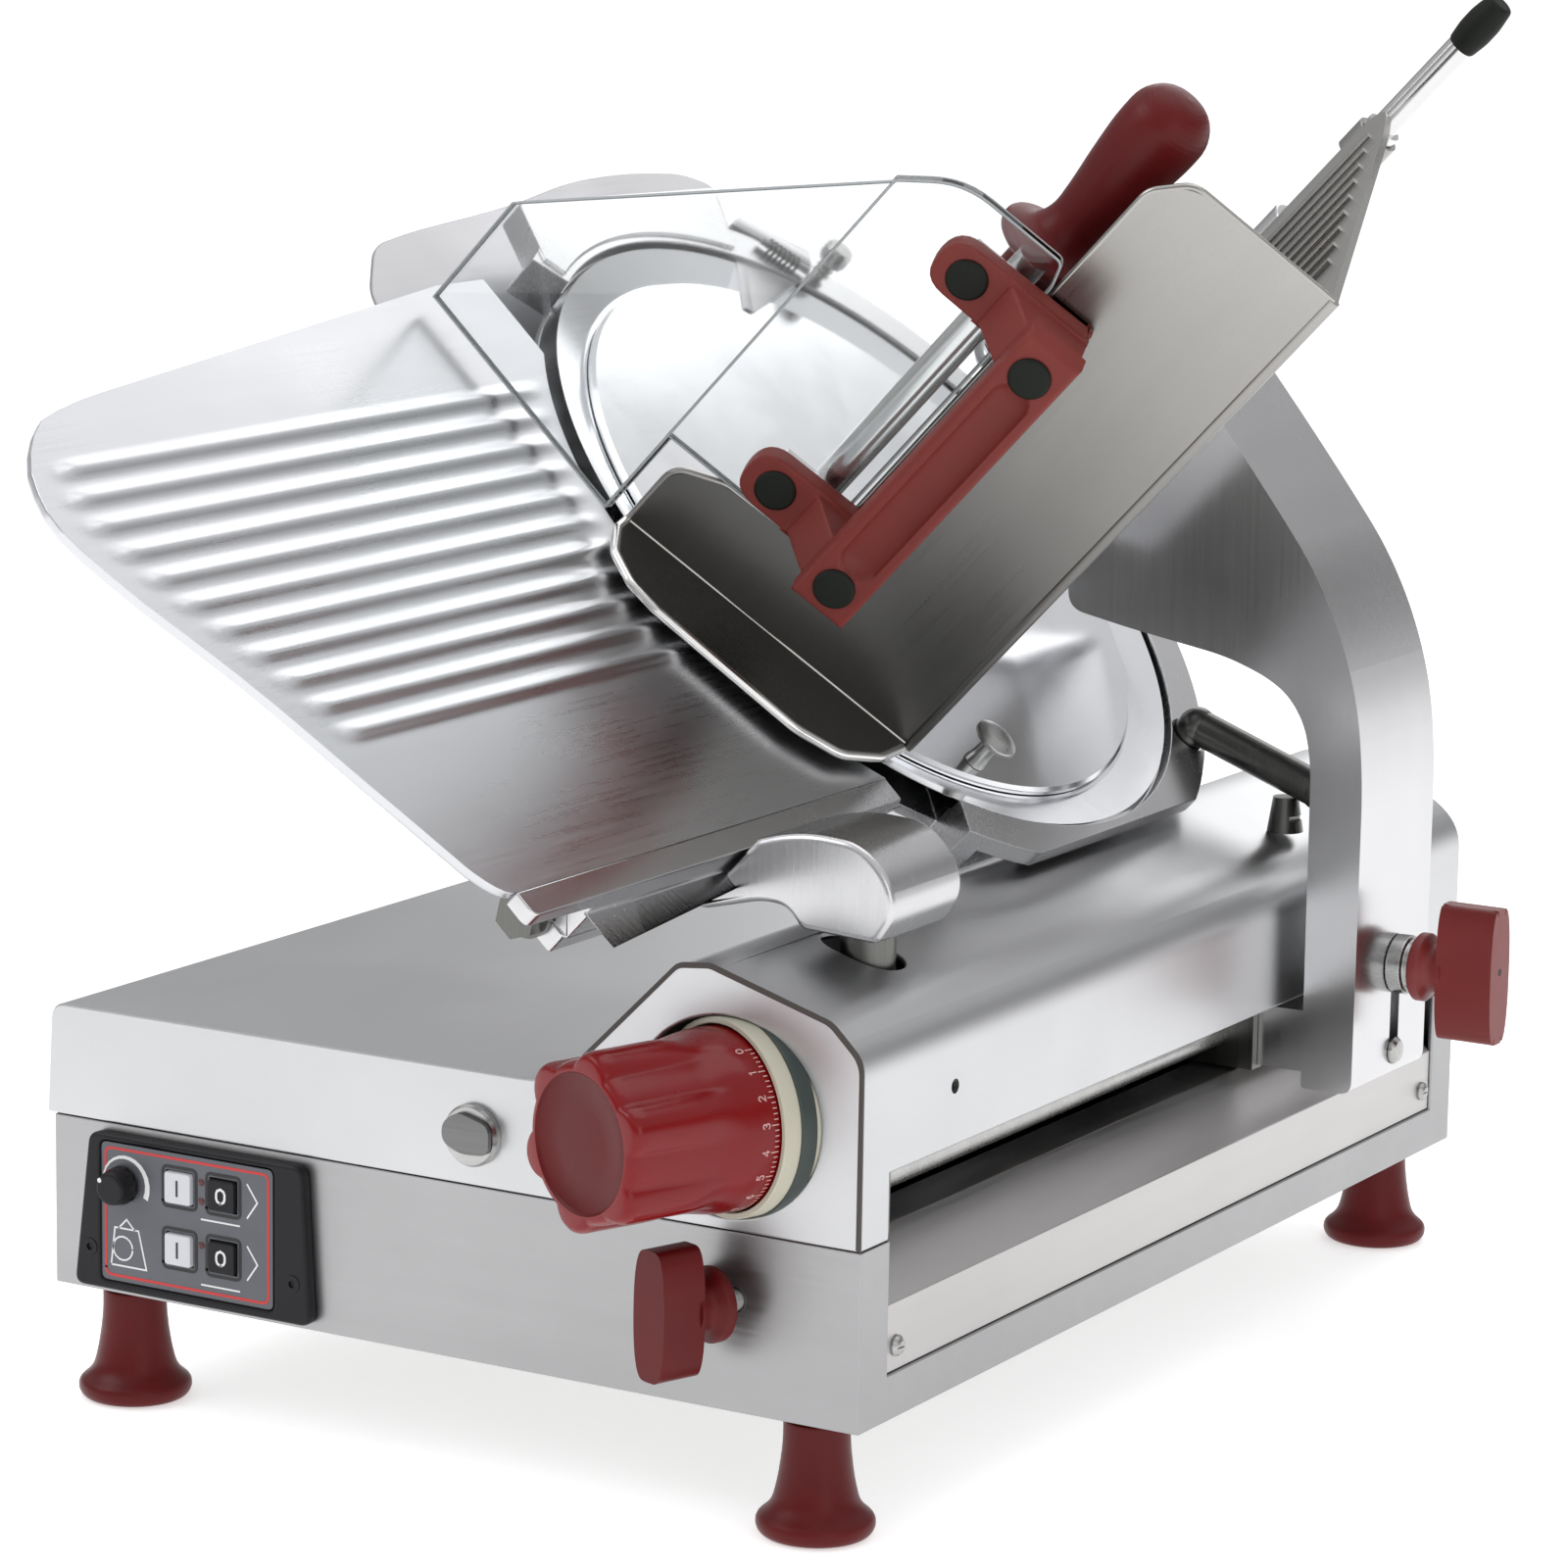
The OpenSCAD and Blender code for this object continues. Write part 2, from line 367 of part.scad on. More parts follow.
module slide_block() at0() color([0.2, 0.2, 0.21]) difference() {
  translate([-52, 366, 67.6]) cube([37.8, 81, 30]);
  translate([-34, 350, 84]) rotate([-90, 0, 0]) cylinder(d = 16.1, h = 120, $fn = 64);
}
module guide_rod() at0() color([0.6, 0.6, 0.62]) translate([-34, 34, 84]) rotate([-90, 0, 0]) cyl(16, 0, 503);
module rod_blocks() at0() color([0.3, 0.3, 0.31]) {
  for (y = [31.5, 523]) difference() {
    translate([-52, y, 66.2]) cube([36, 18, 34]);
    translate([-34, y - 5, 84]) rotate([-90, 0, 0]) cylinder(d = 16, h = 30, $fn = 64);
  }
  // stub and drum that turn the belt at the front
  alongx(-61, 50, 82) { cyl(30, 0, 8, 64); cyl(12, 7, 9.5, 48); }
}
module arm_spacer() at0() color([0.62, 0.61, 0.58]) union() {
  alongx(32.3, 411.5, 113) difference() { union() { cyl(26, 0, 7, 48); cyl(22, 7, 10, 48); } cyl(8.1, -1, 12, 32); }
  // retaining pin in the keyhole
  alongx(24.2, 411.5, 74) { cyl(7, 0, 8.2, 32); translate([0, 0, 8]) rotate_extrude($fn = 48) polygon([[0, 0], [6, 0], [6, 1], [4.4, 3], [0, 3.8]]); }
}
module arm_knob() at0() color([0.45, 0.08, 0.09]) alongx(43, 411.5, 113) { rotate([0, 0, 90]) wing(26, 60, 18); cyl(8, -40, 1, 32); }
module meat_tray() at0() color([0.5, 0.49, 0.47]) union() {
  // fence with the taller end at the blade
  tray() rotate([90, 0, 0]) linear_extrude(3) polygon(rp([[1, 99], [1, 370], [-70, 370], [-82, 356], [-82, 348], [-fence_h, 142], [-128, 141], [-148, 132], [-148, 99]],
    [0, 0, 10, 10, 10, 0, 8, 10, 0]));
  // floor
  tray() translate([3, 0, 0]) rotate([90, 0, -90]) mirror([1, 0, 0]) linear_extrude(3) polygon(rp([[-3, 99], [floor_w, 99], [floor_w, 352], [floor_w - 16, 366], [floor_w - 50, 370], [-3, 370]],
    [0, 10, 10, 10, 6, 0]));
  // ribs of the floor
  for (i = [0:8]) tray() translate([0, 60 + i * 17.5, 108]) cylinder(d = 3.4, h = 250, $fn = 20);
  // eyes that hold the pusher rod
  for (z = [[103, 8], [330, 14]]) tray() translate([0, 0, z[0]]) linear_extrude(z[1]) difference() {
    union() { translate([2.5, 216]) square([9, 30]); translate([9.6, 246]) circle(d = 20, $fn = 64); }
    translate([9.6, 246]) circle(d = rod_d + 0.1, $fn = 64);
  }
  // end flange that glides over the gauge plate
  te(98, 101) polygon(rp([[0, 0.5], [-148, 0.5], [-150, -12], [-146, -30], [-134, -42], [-120, -46], [-46, -50], [-24, -43], [-8, -24], [0, -6]],
    [0, 0, 6, 8, 10, 8, 20, 14, 12, 6]));
}
module clear_guard() at0() color([0.85, 0.9, 0.92, 0.35]) union() {
  // side sheet next to the fence
  tray() rotate([90, 0, 0]) linear_extrude(guard_t) polygon(rp([[-159, 143], [-84.5, 143], [-84.5, 300], [-88, 311], [-138, 311], [-159, 293]], [0, 3, 2, 3, 16, 0]));
  // front sheet over the gauge plate
  feed() translate([0, 131.4, 0]) rotate([90, 0, 0]) linear_extrude(guard_t) polygon([[-369, 99.6], [-486, 99.6], [-486, 156], [-369, 293]]);
}
module hb(z) tray() union() {
  // plate over the fence and the sheet
  translate([0, -5.2, z]) rotate([90, 0, 0]) linear_extrude(11) polygon(rp([[-62, -13], [-128, -12], [-128, 12], [-62, 13]], [2, 12, 12, 2]));
  translate([0, -3.1, z]) rotate([90, 0, 0]) linear_extrude(3) polygon([[-61, -12], [-80, -12], [-80, 12], [-61, 12]]);
  // outrigger to the bar
  translate([0, 0, z - 11]) linear_extrude(22) polygon(rp([[-60, -10], [-100, -10], [-100, -16], [-86, -38], [-60, -38]], [2, 2, 8, 2, 2]));
}
module handle_brackets() at0() color([0.5, 0.18, 0.16]) { hb(160.4); hb(284.7); }
module handle_bar() at0() color([0.48, 0.15, 0.14]) difference() {
  te(147, 300) polygon(rp([[-60, -38.2], [-86, -38.2], [-86, -48], [-83, -51], [-63, -51], [-60, -48]], [1, 1, 2, 2, 2, 2], 4));
  te(174, 272) polygon(rp([[-66, -46.5], [-80, -46.5], [-82, -52], [-64, -52]], 2));
}
module handle_caps() at0() color([0.11, 0.12, 0.1]) for (z = [160.4, 284.7]) tray() {
  translate([-113, -16.3, z]) rotate([90, 0, 0]) rotate_extrude($fn = 48) polygon([[0, 0], [8.6, 0], [8.6, 0.8], [7, 1.8], [0, 2.2]]);
  translate([-73.5, -51.1, z]) rotate([90, 0, 0]) rotate_extrude($fn = 48) polygon([[0, 0], [8.6, 0], [8.6, 0.8], [7, 1.8], [0, 2.2]]);
}
module handle_tube() at0() color([0.7, 0.7, 0.71]) tray() union() {
  translate([-96, 9, 142]) cyl(14, 0, 158);
  translate([-96, 9, 132]) cyl(9, 0, 11, 48);
  // saddle blocks behind the clear sheet
  for (z = [152, 276]) translate([-118, 0.2, z]) cube([24, 5, 17]);
}
module pusher_rod() at0() color([0.72, 0.72, 0.73]) tray() union() {
  translate([9.6, 246, 102]) cyl(rod_d, 0, 296);
  translate([9.6, 246, 344.4]) cyl(16, 0, 4, 48);
}
module rod_cap() at0() color([0.09, 0.1, 0.09]) tray() translate([9.6, 246, 398.1]) rotate_extrude($fn = 48)
  polygon(rp([[0, 0], [6.4, 0], [7.6, 8], [7.6, 16], [6, 26], [0, 26]], [0, 1, 2, 2, 2, 0], 4));
module pusher_arm() at0() color([0.75, 0.75, 0.76]) tray() difference() {
  union() {
    translate([9.6, 246, 251.5]) cyl(22, 0, 38);
    translate([0, 0, 252]) linear_extrude(6) polygon(rp([[2, 252], [-14, 262], [-64, 120], [-96, 58], [-96, 30], [-60, 20], [-30, 60]], [4, 12, 30, 12, 12, 12, 20]));
    translate([-8, 238, 252]) cube([14, 14, 12]);
  }
  translate([9.6, 246, 240]) cylinder(d = rod_d + 0.1, h = 80, $fn = 64);
}
module pusher_plate() at0() color([0.46, 0.08, 0.09]) tray() union() {
  translate([0, 0, 244]) linear_extrude(7.9) polygon(rp([[-8, 8], [-84, 14], [-92, 48], [-60, 112], [-8, 112]], [6, 12, 16, 20, 8]));
  for (x = [-24, -46, -68], y = [26, 50]) translate([x, y, 239.5]) cylinder(d1 = 1.6, d2 = 4, h = 5, $fn = 24);
}
module pusher_handle() at0() color([0.42, 0.06, 0.08]) tray() translate([-88, 42, 0]) union() {
  translate([0, 0, 258.1]) rotate_extrude($fn = 64) polygon(rp([[0, 0], [14, 0], [14, 30], [25, 32], [25, 37], [15, 41], [12.2, 50], [13.4, 62], [16.2, 80], [18.2, 97], [18, 111], [11, 120], [0, 121]],
    [0, 2, 3, 3, 3, 6, 8, 14, 20, 12, 12, 9, 0], 5));
}

// ---------- carriage drive ----------
module carriage_motor() at0() color([0.25, 0.26, 0.28]) difference() {
  union() {
    alongx(-126, 480, 82) { cyl(60, 0, 58); cyl(22, 57, 61, 48); }
    translate([-120, 455, 2.6]) cube([48, 50, 62]);
  }
  alongx(-80, 480, 82) cyl(8.1, 0, 20, 48);
}
module carriage_pulley() at0() color([0.5, 0.5, 0.52]) alongx(-62, 480, 82) union() {
  rotate_extrude($fn = 64) polygon([[0, 0], [18, 0], [18, 1], [15, 1.3], [15, 8.7], [18, 9], [18, 9.8], [0, 9.8]]);
  cyl(8, -17, 1, 48);
}
module carriage_belt() at0() color([0.08, 0.08, 0.08]) xe(-60.4, -53.6) difference() {
  union() { translate([480, 82]) circle(r = 17, $fn = 64); translate([50, 82]) circle(r = 17, $fn = 64); translate([50, 65]) square([430, 34]); }
  union() { translate([480, 82]) circle(r = 15.1, $fn = 64); translate([50, 82]) circle(r = 15.1, $fn = 64); translate([50, 66.9]) square([430, 30.2]); }
}

lower_body();
bottom_plate();
top_cover();
side_panel();
side_screws();
feet();
control_bezel();
bezel_plugs();
control_membrane();
indicator_leds();
oil_port();
dial_collar();
power_gland();
blade_housing();
deflector();
cover_disc();
guard_brace();
brace_pin();
guide_rod();
rod_blocks();
blade_motor();
drive_belt();
blade_bearings();
carriage_motor();
carriage_belt();
blade();
blade_hub();
motor_pulley();
carriage_pulley();
thickness_dial();
dial_spindle();
lock_knob();
speed_knob();
blade_start_button();
blade_stop_button();
carriage_start_button();
carriage_stop_button();
oil_flap();
cover_knob();
lug_pin();
gauge_plate();
gauge_rail();
gauge_bolt();
gauge_bracket();
gauge_post();
carriage_arm();
slide_block();
arm_spacer();
arm_knob();
meat_tray();
clear_guard();
handle_brackets();
handle_bar();
handle_caps();
handle_tube();
pusher_rod();
rod_cap();
pusher_arm();
pusher_plate();
pusher_handle();
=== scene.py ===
import bpy, bmesh, json, math
from mathutils import Vector, Matrix

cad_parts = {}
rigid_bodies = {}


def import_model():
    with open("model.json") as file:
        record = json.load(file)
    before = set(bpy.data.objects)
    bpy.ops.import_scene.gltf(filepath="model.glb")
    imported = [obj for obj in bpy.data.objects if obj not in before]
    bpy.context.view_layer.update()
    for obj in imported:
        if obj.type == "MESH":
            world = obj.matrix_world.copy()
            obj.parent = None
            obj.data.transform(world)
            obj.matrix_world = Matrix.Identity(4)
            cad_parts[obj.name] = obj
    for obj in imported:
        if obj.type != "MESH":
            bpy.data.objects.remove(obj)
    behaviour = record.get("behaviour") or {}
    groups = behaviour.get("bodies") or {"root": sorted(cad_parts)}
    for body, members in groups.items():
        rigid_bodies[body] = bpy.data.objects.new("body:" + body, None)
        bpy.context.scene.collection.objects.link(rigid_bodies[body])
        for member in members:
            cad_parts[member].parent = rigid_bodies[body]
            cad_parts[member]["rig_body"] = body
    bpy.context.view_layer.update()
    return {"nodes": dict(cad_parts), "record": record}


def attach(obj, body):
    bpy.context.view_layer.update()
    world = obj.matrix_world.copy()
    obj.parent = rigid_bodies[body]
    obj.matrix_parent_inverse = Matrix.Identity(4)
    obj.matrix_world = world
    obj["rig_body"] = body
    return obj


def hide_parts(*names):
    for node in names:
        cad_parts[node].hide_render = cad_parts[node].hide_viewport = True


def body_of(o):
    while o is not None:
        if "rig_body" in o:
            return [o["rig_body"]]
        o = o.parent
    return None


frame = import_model()
N = frame["nodes"]

# ------------------------------------------------------------------ frame of the working drawing
OX, OY, OZ = 0.147684, -0.190998, 0.048
OFF = Vector((OX, OY, OZ))
PH = math.radians(46.5)
U = Vector((-math.sin(PH), 0, math.cos(PH)))
A = Vector((math.cos(PH), 0, math.sin(PH)))
Y = Vector((0, 1, 0))
V25 = math.radians(25)
E1 = U * math.cos(V25) - Y * math.sin(V25)
E2 = U * math.sin(V25) + Y * math.cos(V25)
TO = U * 227.4 + Y * 198.3


def D(x, y, z):
    "working drawing millimetres to row frame metres"
    return Vector((x, y, z)) * 0.001 + OFF


def F(u, y, a):
    return (U * u + Y * y + A * a) * 0.001 + OFF


def T(e1, e2, a):
    return (TO + E1 * e1 + E2 * e2 + A * a) * 0.001 + OFF


# ------------------------------------------------------------------ camera
cam = bpy.data.cameras.new("camera")
cam.lens = 128.1526
cam.sensor_width = 36.0
cam.clip_start = 0.05
cam.clip_end = 50
camo = bpy.data.objects.new("camera", cam)
bpy.context.scene.collection.objects.link(camo)
R_ = Vector((0.8598312890161306, 0.5103292132038123, 0.015945174180207182))
U_ = Vector((-0.10952159221255027, 0.15384545202142694, 0.9820064143026513))
D_ = Vector((-0.4986934682428546, 0.84610618189628, -0.18817320130351234))
C_ = Vector((2.624464522609602, -4.618288248467331, 1.6747924656508304)) * 0.385 + OFF
m = Matrix.Identity(4)
for i in range(3):
    m[i][0] = R_[i]; m[i][1] = U_[i]; m[i][2] = -D_[i]; m[i][3] = C_[i]
camo.matrix_world = m
bpy.context.scene.camera = camo

# ------------------------------------------------------------------ stage and lights
bpy.context.scene.view_settings.view_transform = "Standard"
bpy.context.scene.view_settings.look = "None"
world = bpy.data.worlds.new("world")
bpy.context.scene.world = world
world.use_nodes = True
wn, wl = world.node_tree.nodes, world.node_tree.links
for n in list(wn):
    wn.remove(n)
wo = wn.new("ShaderNodeOutputWorld")
bg = wn.new("ShaderNodeBackground")
tc = wn.new("ShaderNodeTexCoord")
sp = wn.new("ShaderNodeSeparateXYZ")
cr = wn.new("ShaderNodeValToRGB")
mr = wn.new("ShaderNodeMapRange")
mr.inputs["From Min"].default_value = -1
mr.inputs["From Max"].default_value = 1
wl.new(tc.outputs["Generated"], sp.inputs[0])
wl.new(sp.outputs["Z"], mr.inputs["Value"])
wl.new(mr.outputs[0], cr.inputs[0])
e = cr.color_ramp.elements
e[0].position = 0.0; e[0].color = (0.78, 0.78, 0.78, 1)
e[1].position = 1.0; e[1].color = (0.95, 0.95, 0.97, 1)
for pos, c in ((0.47, 1.0), (0.53, 0.95), (0.57, 0.50), (0.64, 0.30), (0.74, 0.85)):
    k = cr.color_ramp.elements.new(pos); k.color = (c, c, c * 1.01, 1)
wl.new(cr.outputs[0], bg.inputs[0])
bg.inputs[1].default_value = 0.80
wl.new(bg.outputs[0], wo.inputs[0])


def area(name, loc, target, size, power, sizey=None):
    l = bpy.data.lights.new(name, "AREA")
    l.energy = power
    l.size = size
    if sizey:
        l.shape = "RECTANGLE"; l.size_y = sizey
    o = bpy.data.objects.new(name, l)
    bpy.context.scene.collection.objects.link(o)
    o.location = loc
    d = Vector(target) - Vector(loc)
    o.rotation_euler = d.to_track_quat("-Z", "Y").to_euler()
    return o


area("key", (-1.6, -1.4, 2.2), (0, 0, 0.25), 1.6, 17)
area("fill", (2.4, -1.6, 1.0), (0, 0, 0.25), 1.4, 7)
area("top", (0.2, 0.4, 2.6), (0, 0, 0.2), 2.0, 12)
area("rim", (-0.6, 2.2, 1.6), (0, 0, 0.3), 1.4, 9)

fm = bpy.data.meshes.new("floor")
fm.from_pydata([(-40, -40, -0.0004), (40, -40, -0.0004), (40, 40, -0.0004), (-40, 40, -0.0004)], [], [(0, 1, 2, 3)])
floor = bpy.data.objects.new("floor", fm)
bpy.context.scene.collection.objects.link(floor)

# ------------------------------------------------------------------ materials


def new_mat(name):
    mt = bpy.data.materials.new(name)
    mt.use_nodes = True
    nt = mt.node_tree
    b = nt.nodes.get("Principled BSDF")
    return mt, nt, b


def link(nt, a, b):
    nt.links.new(a, b)


def coords(nt, scale, rot=(0, 0, 0)):
    t = nt.nodes.new("ShaderNodeTexCoord")
    mp = nt.nodes.new("ShaderNodeMapping")
    mp.inputs["Scale"].default_value = scale
    mp.inputs["Rotation"].default_value = rot
    link(nt, t.outputs["Object"], mp.inputs["Vector"])
    # the mapping rotates after scaling, so rotate first when a direction is given
    if rot != (0, 0, 0):
        mp.vector_type = "TEXTURE"
    return mp.outputs[0]


def noise(nt, vec, scale, detail=3, rough=0.5):
    n = nt.nodes.new("ShaderNodeTexNoise")
    n.inputs["Scale"].default_value = scale
    n.inputs["Detail"].default_value = detail
    n.inputs["Roughness"].default_value = rough
    link(nt, vec, n.inputs["Vector"])
    return n.outputs["Fac"]


def ramp(nt, fac, stops):
    r = nt.nodes.new("ShaderNodeValToRGB")
    el = r.color_ramp.elements
    while len(el) < len(stops):
        el.new(0.5)
    for k, (pos, c) in enumerate(stops):
        el[k].position = pos
        el[k].color = (c[0], c[1], c[2], 1) if hasattr(c, "__len__") else (c, c, c, 1)
    link(nt, fac, r.inputs[0])
    return r.outputs[0]


def maprange(nt, v, lo, hi, a=0.0, b=1.0):
    n = nt.nodes.new("ShaderNodeMapRange")
    n.inputs["From Min"].default_value = a
    n.inputs["From Max"].default_value = b
    n.inputs["To Min"].default_value = lo
    n.inputs["To Max"].default_value = hi
    link(nt, v, n.inputs["Value"])
    return n.outputs[0]


def mathn(nt, op, a, b=None, v=None):
    n = nt.nodes.new("ShaderNodeMath")
    n.operation = op
    link(nt, a, n.inputs[0])
    if b is not None:
        link(nt, b, n.inputs[1])
    if v is not None:
        n.inputs[1].default_value = v
    return n.outputs[0]


def mixc(nt, fac, a, b):
    n = nt.nodes.new("ShaderNodeMix")
    n.data_type = "RGBA"
    if isinstance(fac, float):
        n.inputs[0].default_value = fac
    else:
        link(nt, fac, n.inputs[0])
    for k, v in ((6, a), (7, b)):
        if hasattr(v, "__len__"):
            n.inputs[k].default_value = (v[0], v[1], v[2], 1)
        else:
            link(nt, v, n.inputs[k])
    return n.outputs[2]


def dirvec(nt, along, fine, coarse):
    "coordinates stretched so that noise runs in streaks along a direction"
    t = nt.nodes.new("ShaderNodeTexCoord")
    al = Vector(along).normalized()
    s1 = al.orthogonal().normalized()
    s2 = al.cross(s1).normalized()
    outs = []
    for v, k in ((al, coarse), (s1, fine), (s2, fine)):
        d = nt.nodes.new("ShaderNodeVectorMath")
        d.operation = "DOT_PRODUCT"
        link(nt, t.outputs["Object"], d.inputs[0])
        d.inputs[1].default_value = v * k
        outs.append(d.outputs["Value"])
    c = nt.nodes.new("ShaderNodeCombineXYZ")
    for k in range(3):
        link(nt, outs[k], c.inputs[k])
    return c.outputs[0]


def bump(nt, b, h, strength, dist=0.0002):
    n = nt.nodes.new("ShaderNodeBump")
    n.inputs["Strength"].default_value = strength
    n.inputs["Distance"].default_value = dist
    link(nt, h, n.inputs["Height"])
    link(nt, n.outputs[0], b.inputs["Normal"])


def brushed(name, col, along=(0, 1, 0), rough=(0.24, 0.42), dark=0.95, grain=900, bstr=0.12, aniso=0.0, cloud=True):
    mt, nt, b = new_mat(name)
    b.inputs["Metallic"].default_value = 1.0
    v = dirvec(nt, along, grain, grain * 0.02)
    n1 = noise(nt, v, 1.0, 2, 0.5)
    v2 = dirvec(nt, along, grain * 0.12, grain * 0.006)
    n2 = noise(nt, v2, 1.0, 3, 0.5)
    n3 = noise(nt, coords(nt, (1, 1, 1)), 9.0, 3, 0.5)
    mixn = mathn(nt, "MULTIPLY", n1, n2)
    c = ramp(nt, mixn, ((0.12, [x * dark for x in col]), (0.42, col)))
    c2 = mixc(nt, maprange(nt, n3, 0.0, 0.25, 0.35, 0.7), c, [x * 0.86 for x in col])
    link(nt, c2, b.inputs["Base Color"])
    rr = mathn(nt, "MULTIPLY", n1, v=1.0)
    r1 = maprange(nt, rr, rough[0] + 0.04, rough[1] - 0.02, 0.25, 0.75)
    r2 = mathn(nt, "ADD", r1, maprange(nt, n3, -0.03, 0.05, 0.3, 0.7))
    link(nt, r2, b.inputs["Roughness"])
    bump(nt, b, n1, bstr * 0.12, 0.00004)
    return mt


def polished(name, col, rough=0.12, smear=0.06):
    mt, nt, b = new_mat(name)
    b.inputs["Metallic"].default_value = 1.0
    n3 = noise(nt, coords(nt, (1, 1, 1)), 14.0, 5, 0.6)
    n4 = noise(nt, coords(nt, (1, 1, 1)), 600.0, 2, 0.5)
    link(nt, ramp(nt, n3, ((0.3, [x * 0.93 for x in col]), (0.65, col))), b.inputs["Base Color"])
    link(nt, maprange(nt, n3, rough, rough + smear, 0.3, 0.7), b.inputs["Roughness"])
    bump(nt, b, n4, 0.04, 0.00005)
    return mt


def plastic(name, col, rough=0.42, grain=1400, bstr=0.12, coat=0.0, vary=0.12, spec=0.5):
    mt, nt, b = new_mat(name)
    n1 = noise(nt, coords(nt, (1, 1, 1)), grain, 2, 0.5)
    n2 = noise(nt, coords(nt, (1, 1, 1)), 30.0, 4, 0.6)
    c = ramp(nt, n2, ((0.3, [x * (1 - vary) for x in col]), (0.7, [min(1, x * (1 + vary)) for x in col])))
    # lighter colour on sharp edges, by pointiness
    g = nt.nodes.new("ShaderNodeNewGeometry")
    pe = maprange(nt, g.outputs["Pointiness"], 0.0, 0.22, 0.51, 0.60)
    c = mixc(nt, pe, c, [min(1, x * 1.25 + 0.006) for x in col])
    link(nt, c, b.inputs["Base Color"])
    link(nt, maprange(nt, n2, rough - 0.05, rough + 0.06, 0.3, 0.7), b.inputs["Roughness"])
    b.inputs["Specular IOR Level"].default_value = spec
    if coat:
        b.inputs["Coat Weight"].default_value = coat
        b.inputs["Coat Roughness"].default_value = 0.12
    bump(nt, b, n1, bstr, 0.00012)
    return mt


def clear(name, col=(0.96, 0.98, 0.98)):
    mt, nt, b = new_mat(name)
    n = noise(nt, coords(nt, (1, 1, 1)), 18.0, 3, 0.5)
    b.inputs["Base Color"].default_value = (*col, 1)
    link(nt, maprange(nt, n, 0.02, 0.06, 0.3, 0.7), b.inputs["Roughness"])
    b.inputs["Transmission Weight"].default_value = 1.0
    b.inputs["IOR"].default_value = 1.45
    return mt


FEEDDIR = A
M = {}
M["stainless_satin"] = brushed("stainless_satin", (0.56, 0.56, 0.57), (1, 1, 0), (0.28, 0.38), bstr=0.06)
M["sheet_grey"] = brushed("sheet_grey", (0.50, 0.50, 0.515), (0, 1, 0), (0.30, 0.42), bstr=0.05)
M["base_front"] = brushed("base_front", (0.42, 0.42, 0.425), (1, 0, 0), (0.28, 0.42))
# side panel steel: a lighter copy of the body steel, painted reflection brightening its sloped face
M["side_painted_reflection"] = brushed("side_painted_reflection", (0.56, 0.545, 0.54), (0, 1, 0), (0.28, 0.42))
M["aluminium_plate"] = brushed("aluminium_plate", (0.66, 0.67, 0.69), (0, 1, 0), (0.22, 0.34), dark=0.975, grain=700, bstr=0.03)
M["aluminium_cast"] = brushed("aluminium_cast", (0.64, 0.64, 0.65), (0, 0, 1), (0.18, 0.28), dark=0.97, grain=700, bstr=0.02)


def painted_shade_ramp(mt, direction, lo, hi, stops):
    """multiplies the base colour by a ramp along a direction of the working drawing, painting shade along it"""
    nt = mt.node_tree
    b = nt.nodes["Principled BSDF"]
    src = b.inputs["Base Color"].links[0].from_socket
    t = nt.nodes.new("ShaderNodeTexCoord")
    d = nt.nodes.new("ShaderNodeVectorMath"); d.operation = "DOT_PRODUCT"
    link(nt, t.outputs["Object"], d.inputs[0])
    v = Vector(direction)
    d.inputs[1].default_value = v
    sh = v.dot(OFF)
    mr_ = maprange(nt, d.outputs["Value"], 0.0, 1.0, sh + lo * 0.001, sh + hi * 0.001)
    mx = nt.nodes.new("ShaderNodeMix"); mx.data_type = "RGBA"; mx.blend_type = "MULTIPLY"
    mx.inputs[0].default_value = 1.0
    link(nt, src, mx.inputs[6])
    link(nt, ramp(nt, mr_, stops), mx.inputs[7])
    link(nt, mx.outputs[2], b.inputs["Base Color"])
    return mt


# tray wall: painted shade, darkest at its foot by the gauge plate and lighter towards the top
M["tray_wall"] = painted_shade_ramp(brushed("tray_wall", (0.52, 0.51, 0.485), A, (0.22, 0.36), dark=0.96, grain=700, bstr=0.04), A, 96, 372,
                        ((0.0, 0.20), (0.02, 0.26), (0.10, 0.30), (0.45, 0.42), (0.8, 0.66), (1.0, 0.80)))
M["tray_mid"] = polished("tray_mid", (0.42, 0.41, 0.39), 0.2, 0.05)
M["tray_rim"] = polished("tray_rim", (0.80, 0.79, 0.77), 0.16, 0.05)
M["tray_floor"] = brushed("tray_floor", (0.80, 0.80, 0.81), A, (0.24, 0.36), dark=0.93, grain=700, bstr=0.08)
M["blade_steel"] = polished("blade_steel", (0.86, 0.87, 0.89), 0.13, 0.05)
M["chrome"] = polished("chrome", (0.72, 0.72, 0.72), 0.14, 0.06)
M["dark_steel"] = brushed("dark_steel", (0.18, 0.18, 0.17), (0, 0, 1), (0.24, 0.36), dark=0.8, grain=900, bstr=0.05)
M["machine_steel"] = brushed("machine_steel", (0.50, 0.50, 0.49), (1, 0, 0.2), (0.2, 0.34), dark=0.8, grain=900, bstr=0.08)
M["red_plastic"] = plastic("red_plastic", (0.110, 0.0060, 0.0068), 0.38, 1500, 0.10, spec=0.22)
M["red_gloss"] = plastic("red_gloss", (0.20, 0.0016, 0.0030), 0.24, 1200, 0.02, coat=0.08, vary=0.06, spec=0.3)
M["pale_print"] = plastic("pale_print", (0.62, 0.40, 0.38), 0.4, 1800, 0.03, vary=0.04)
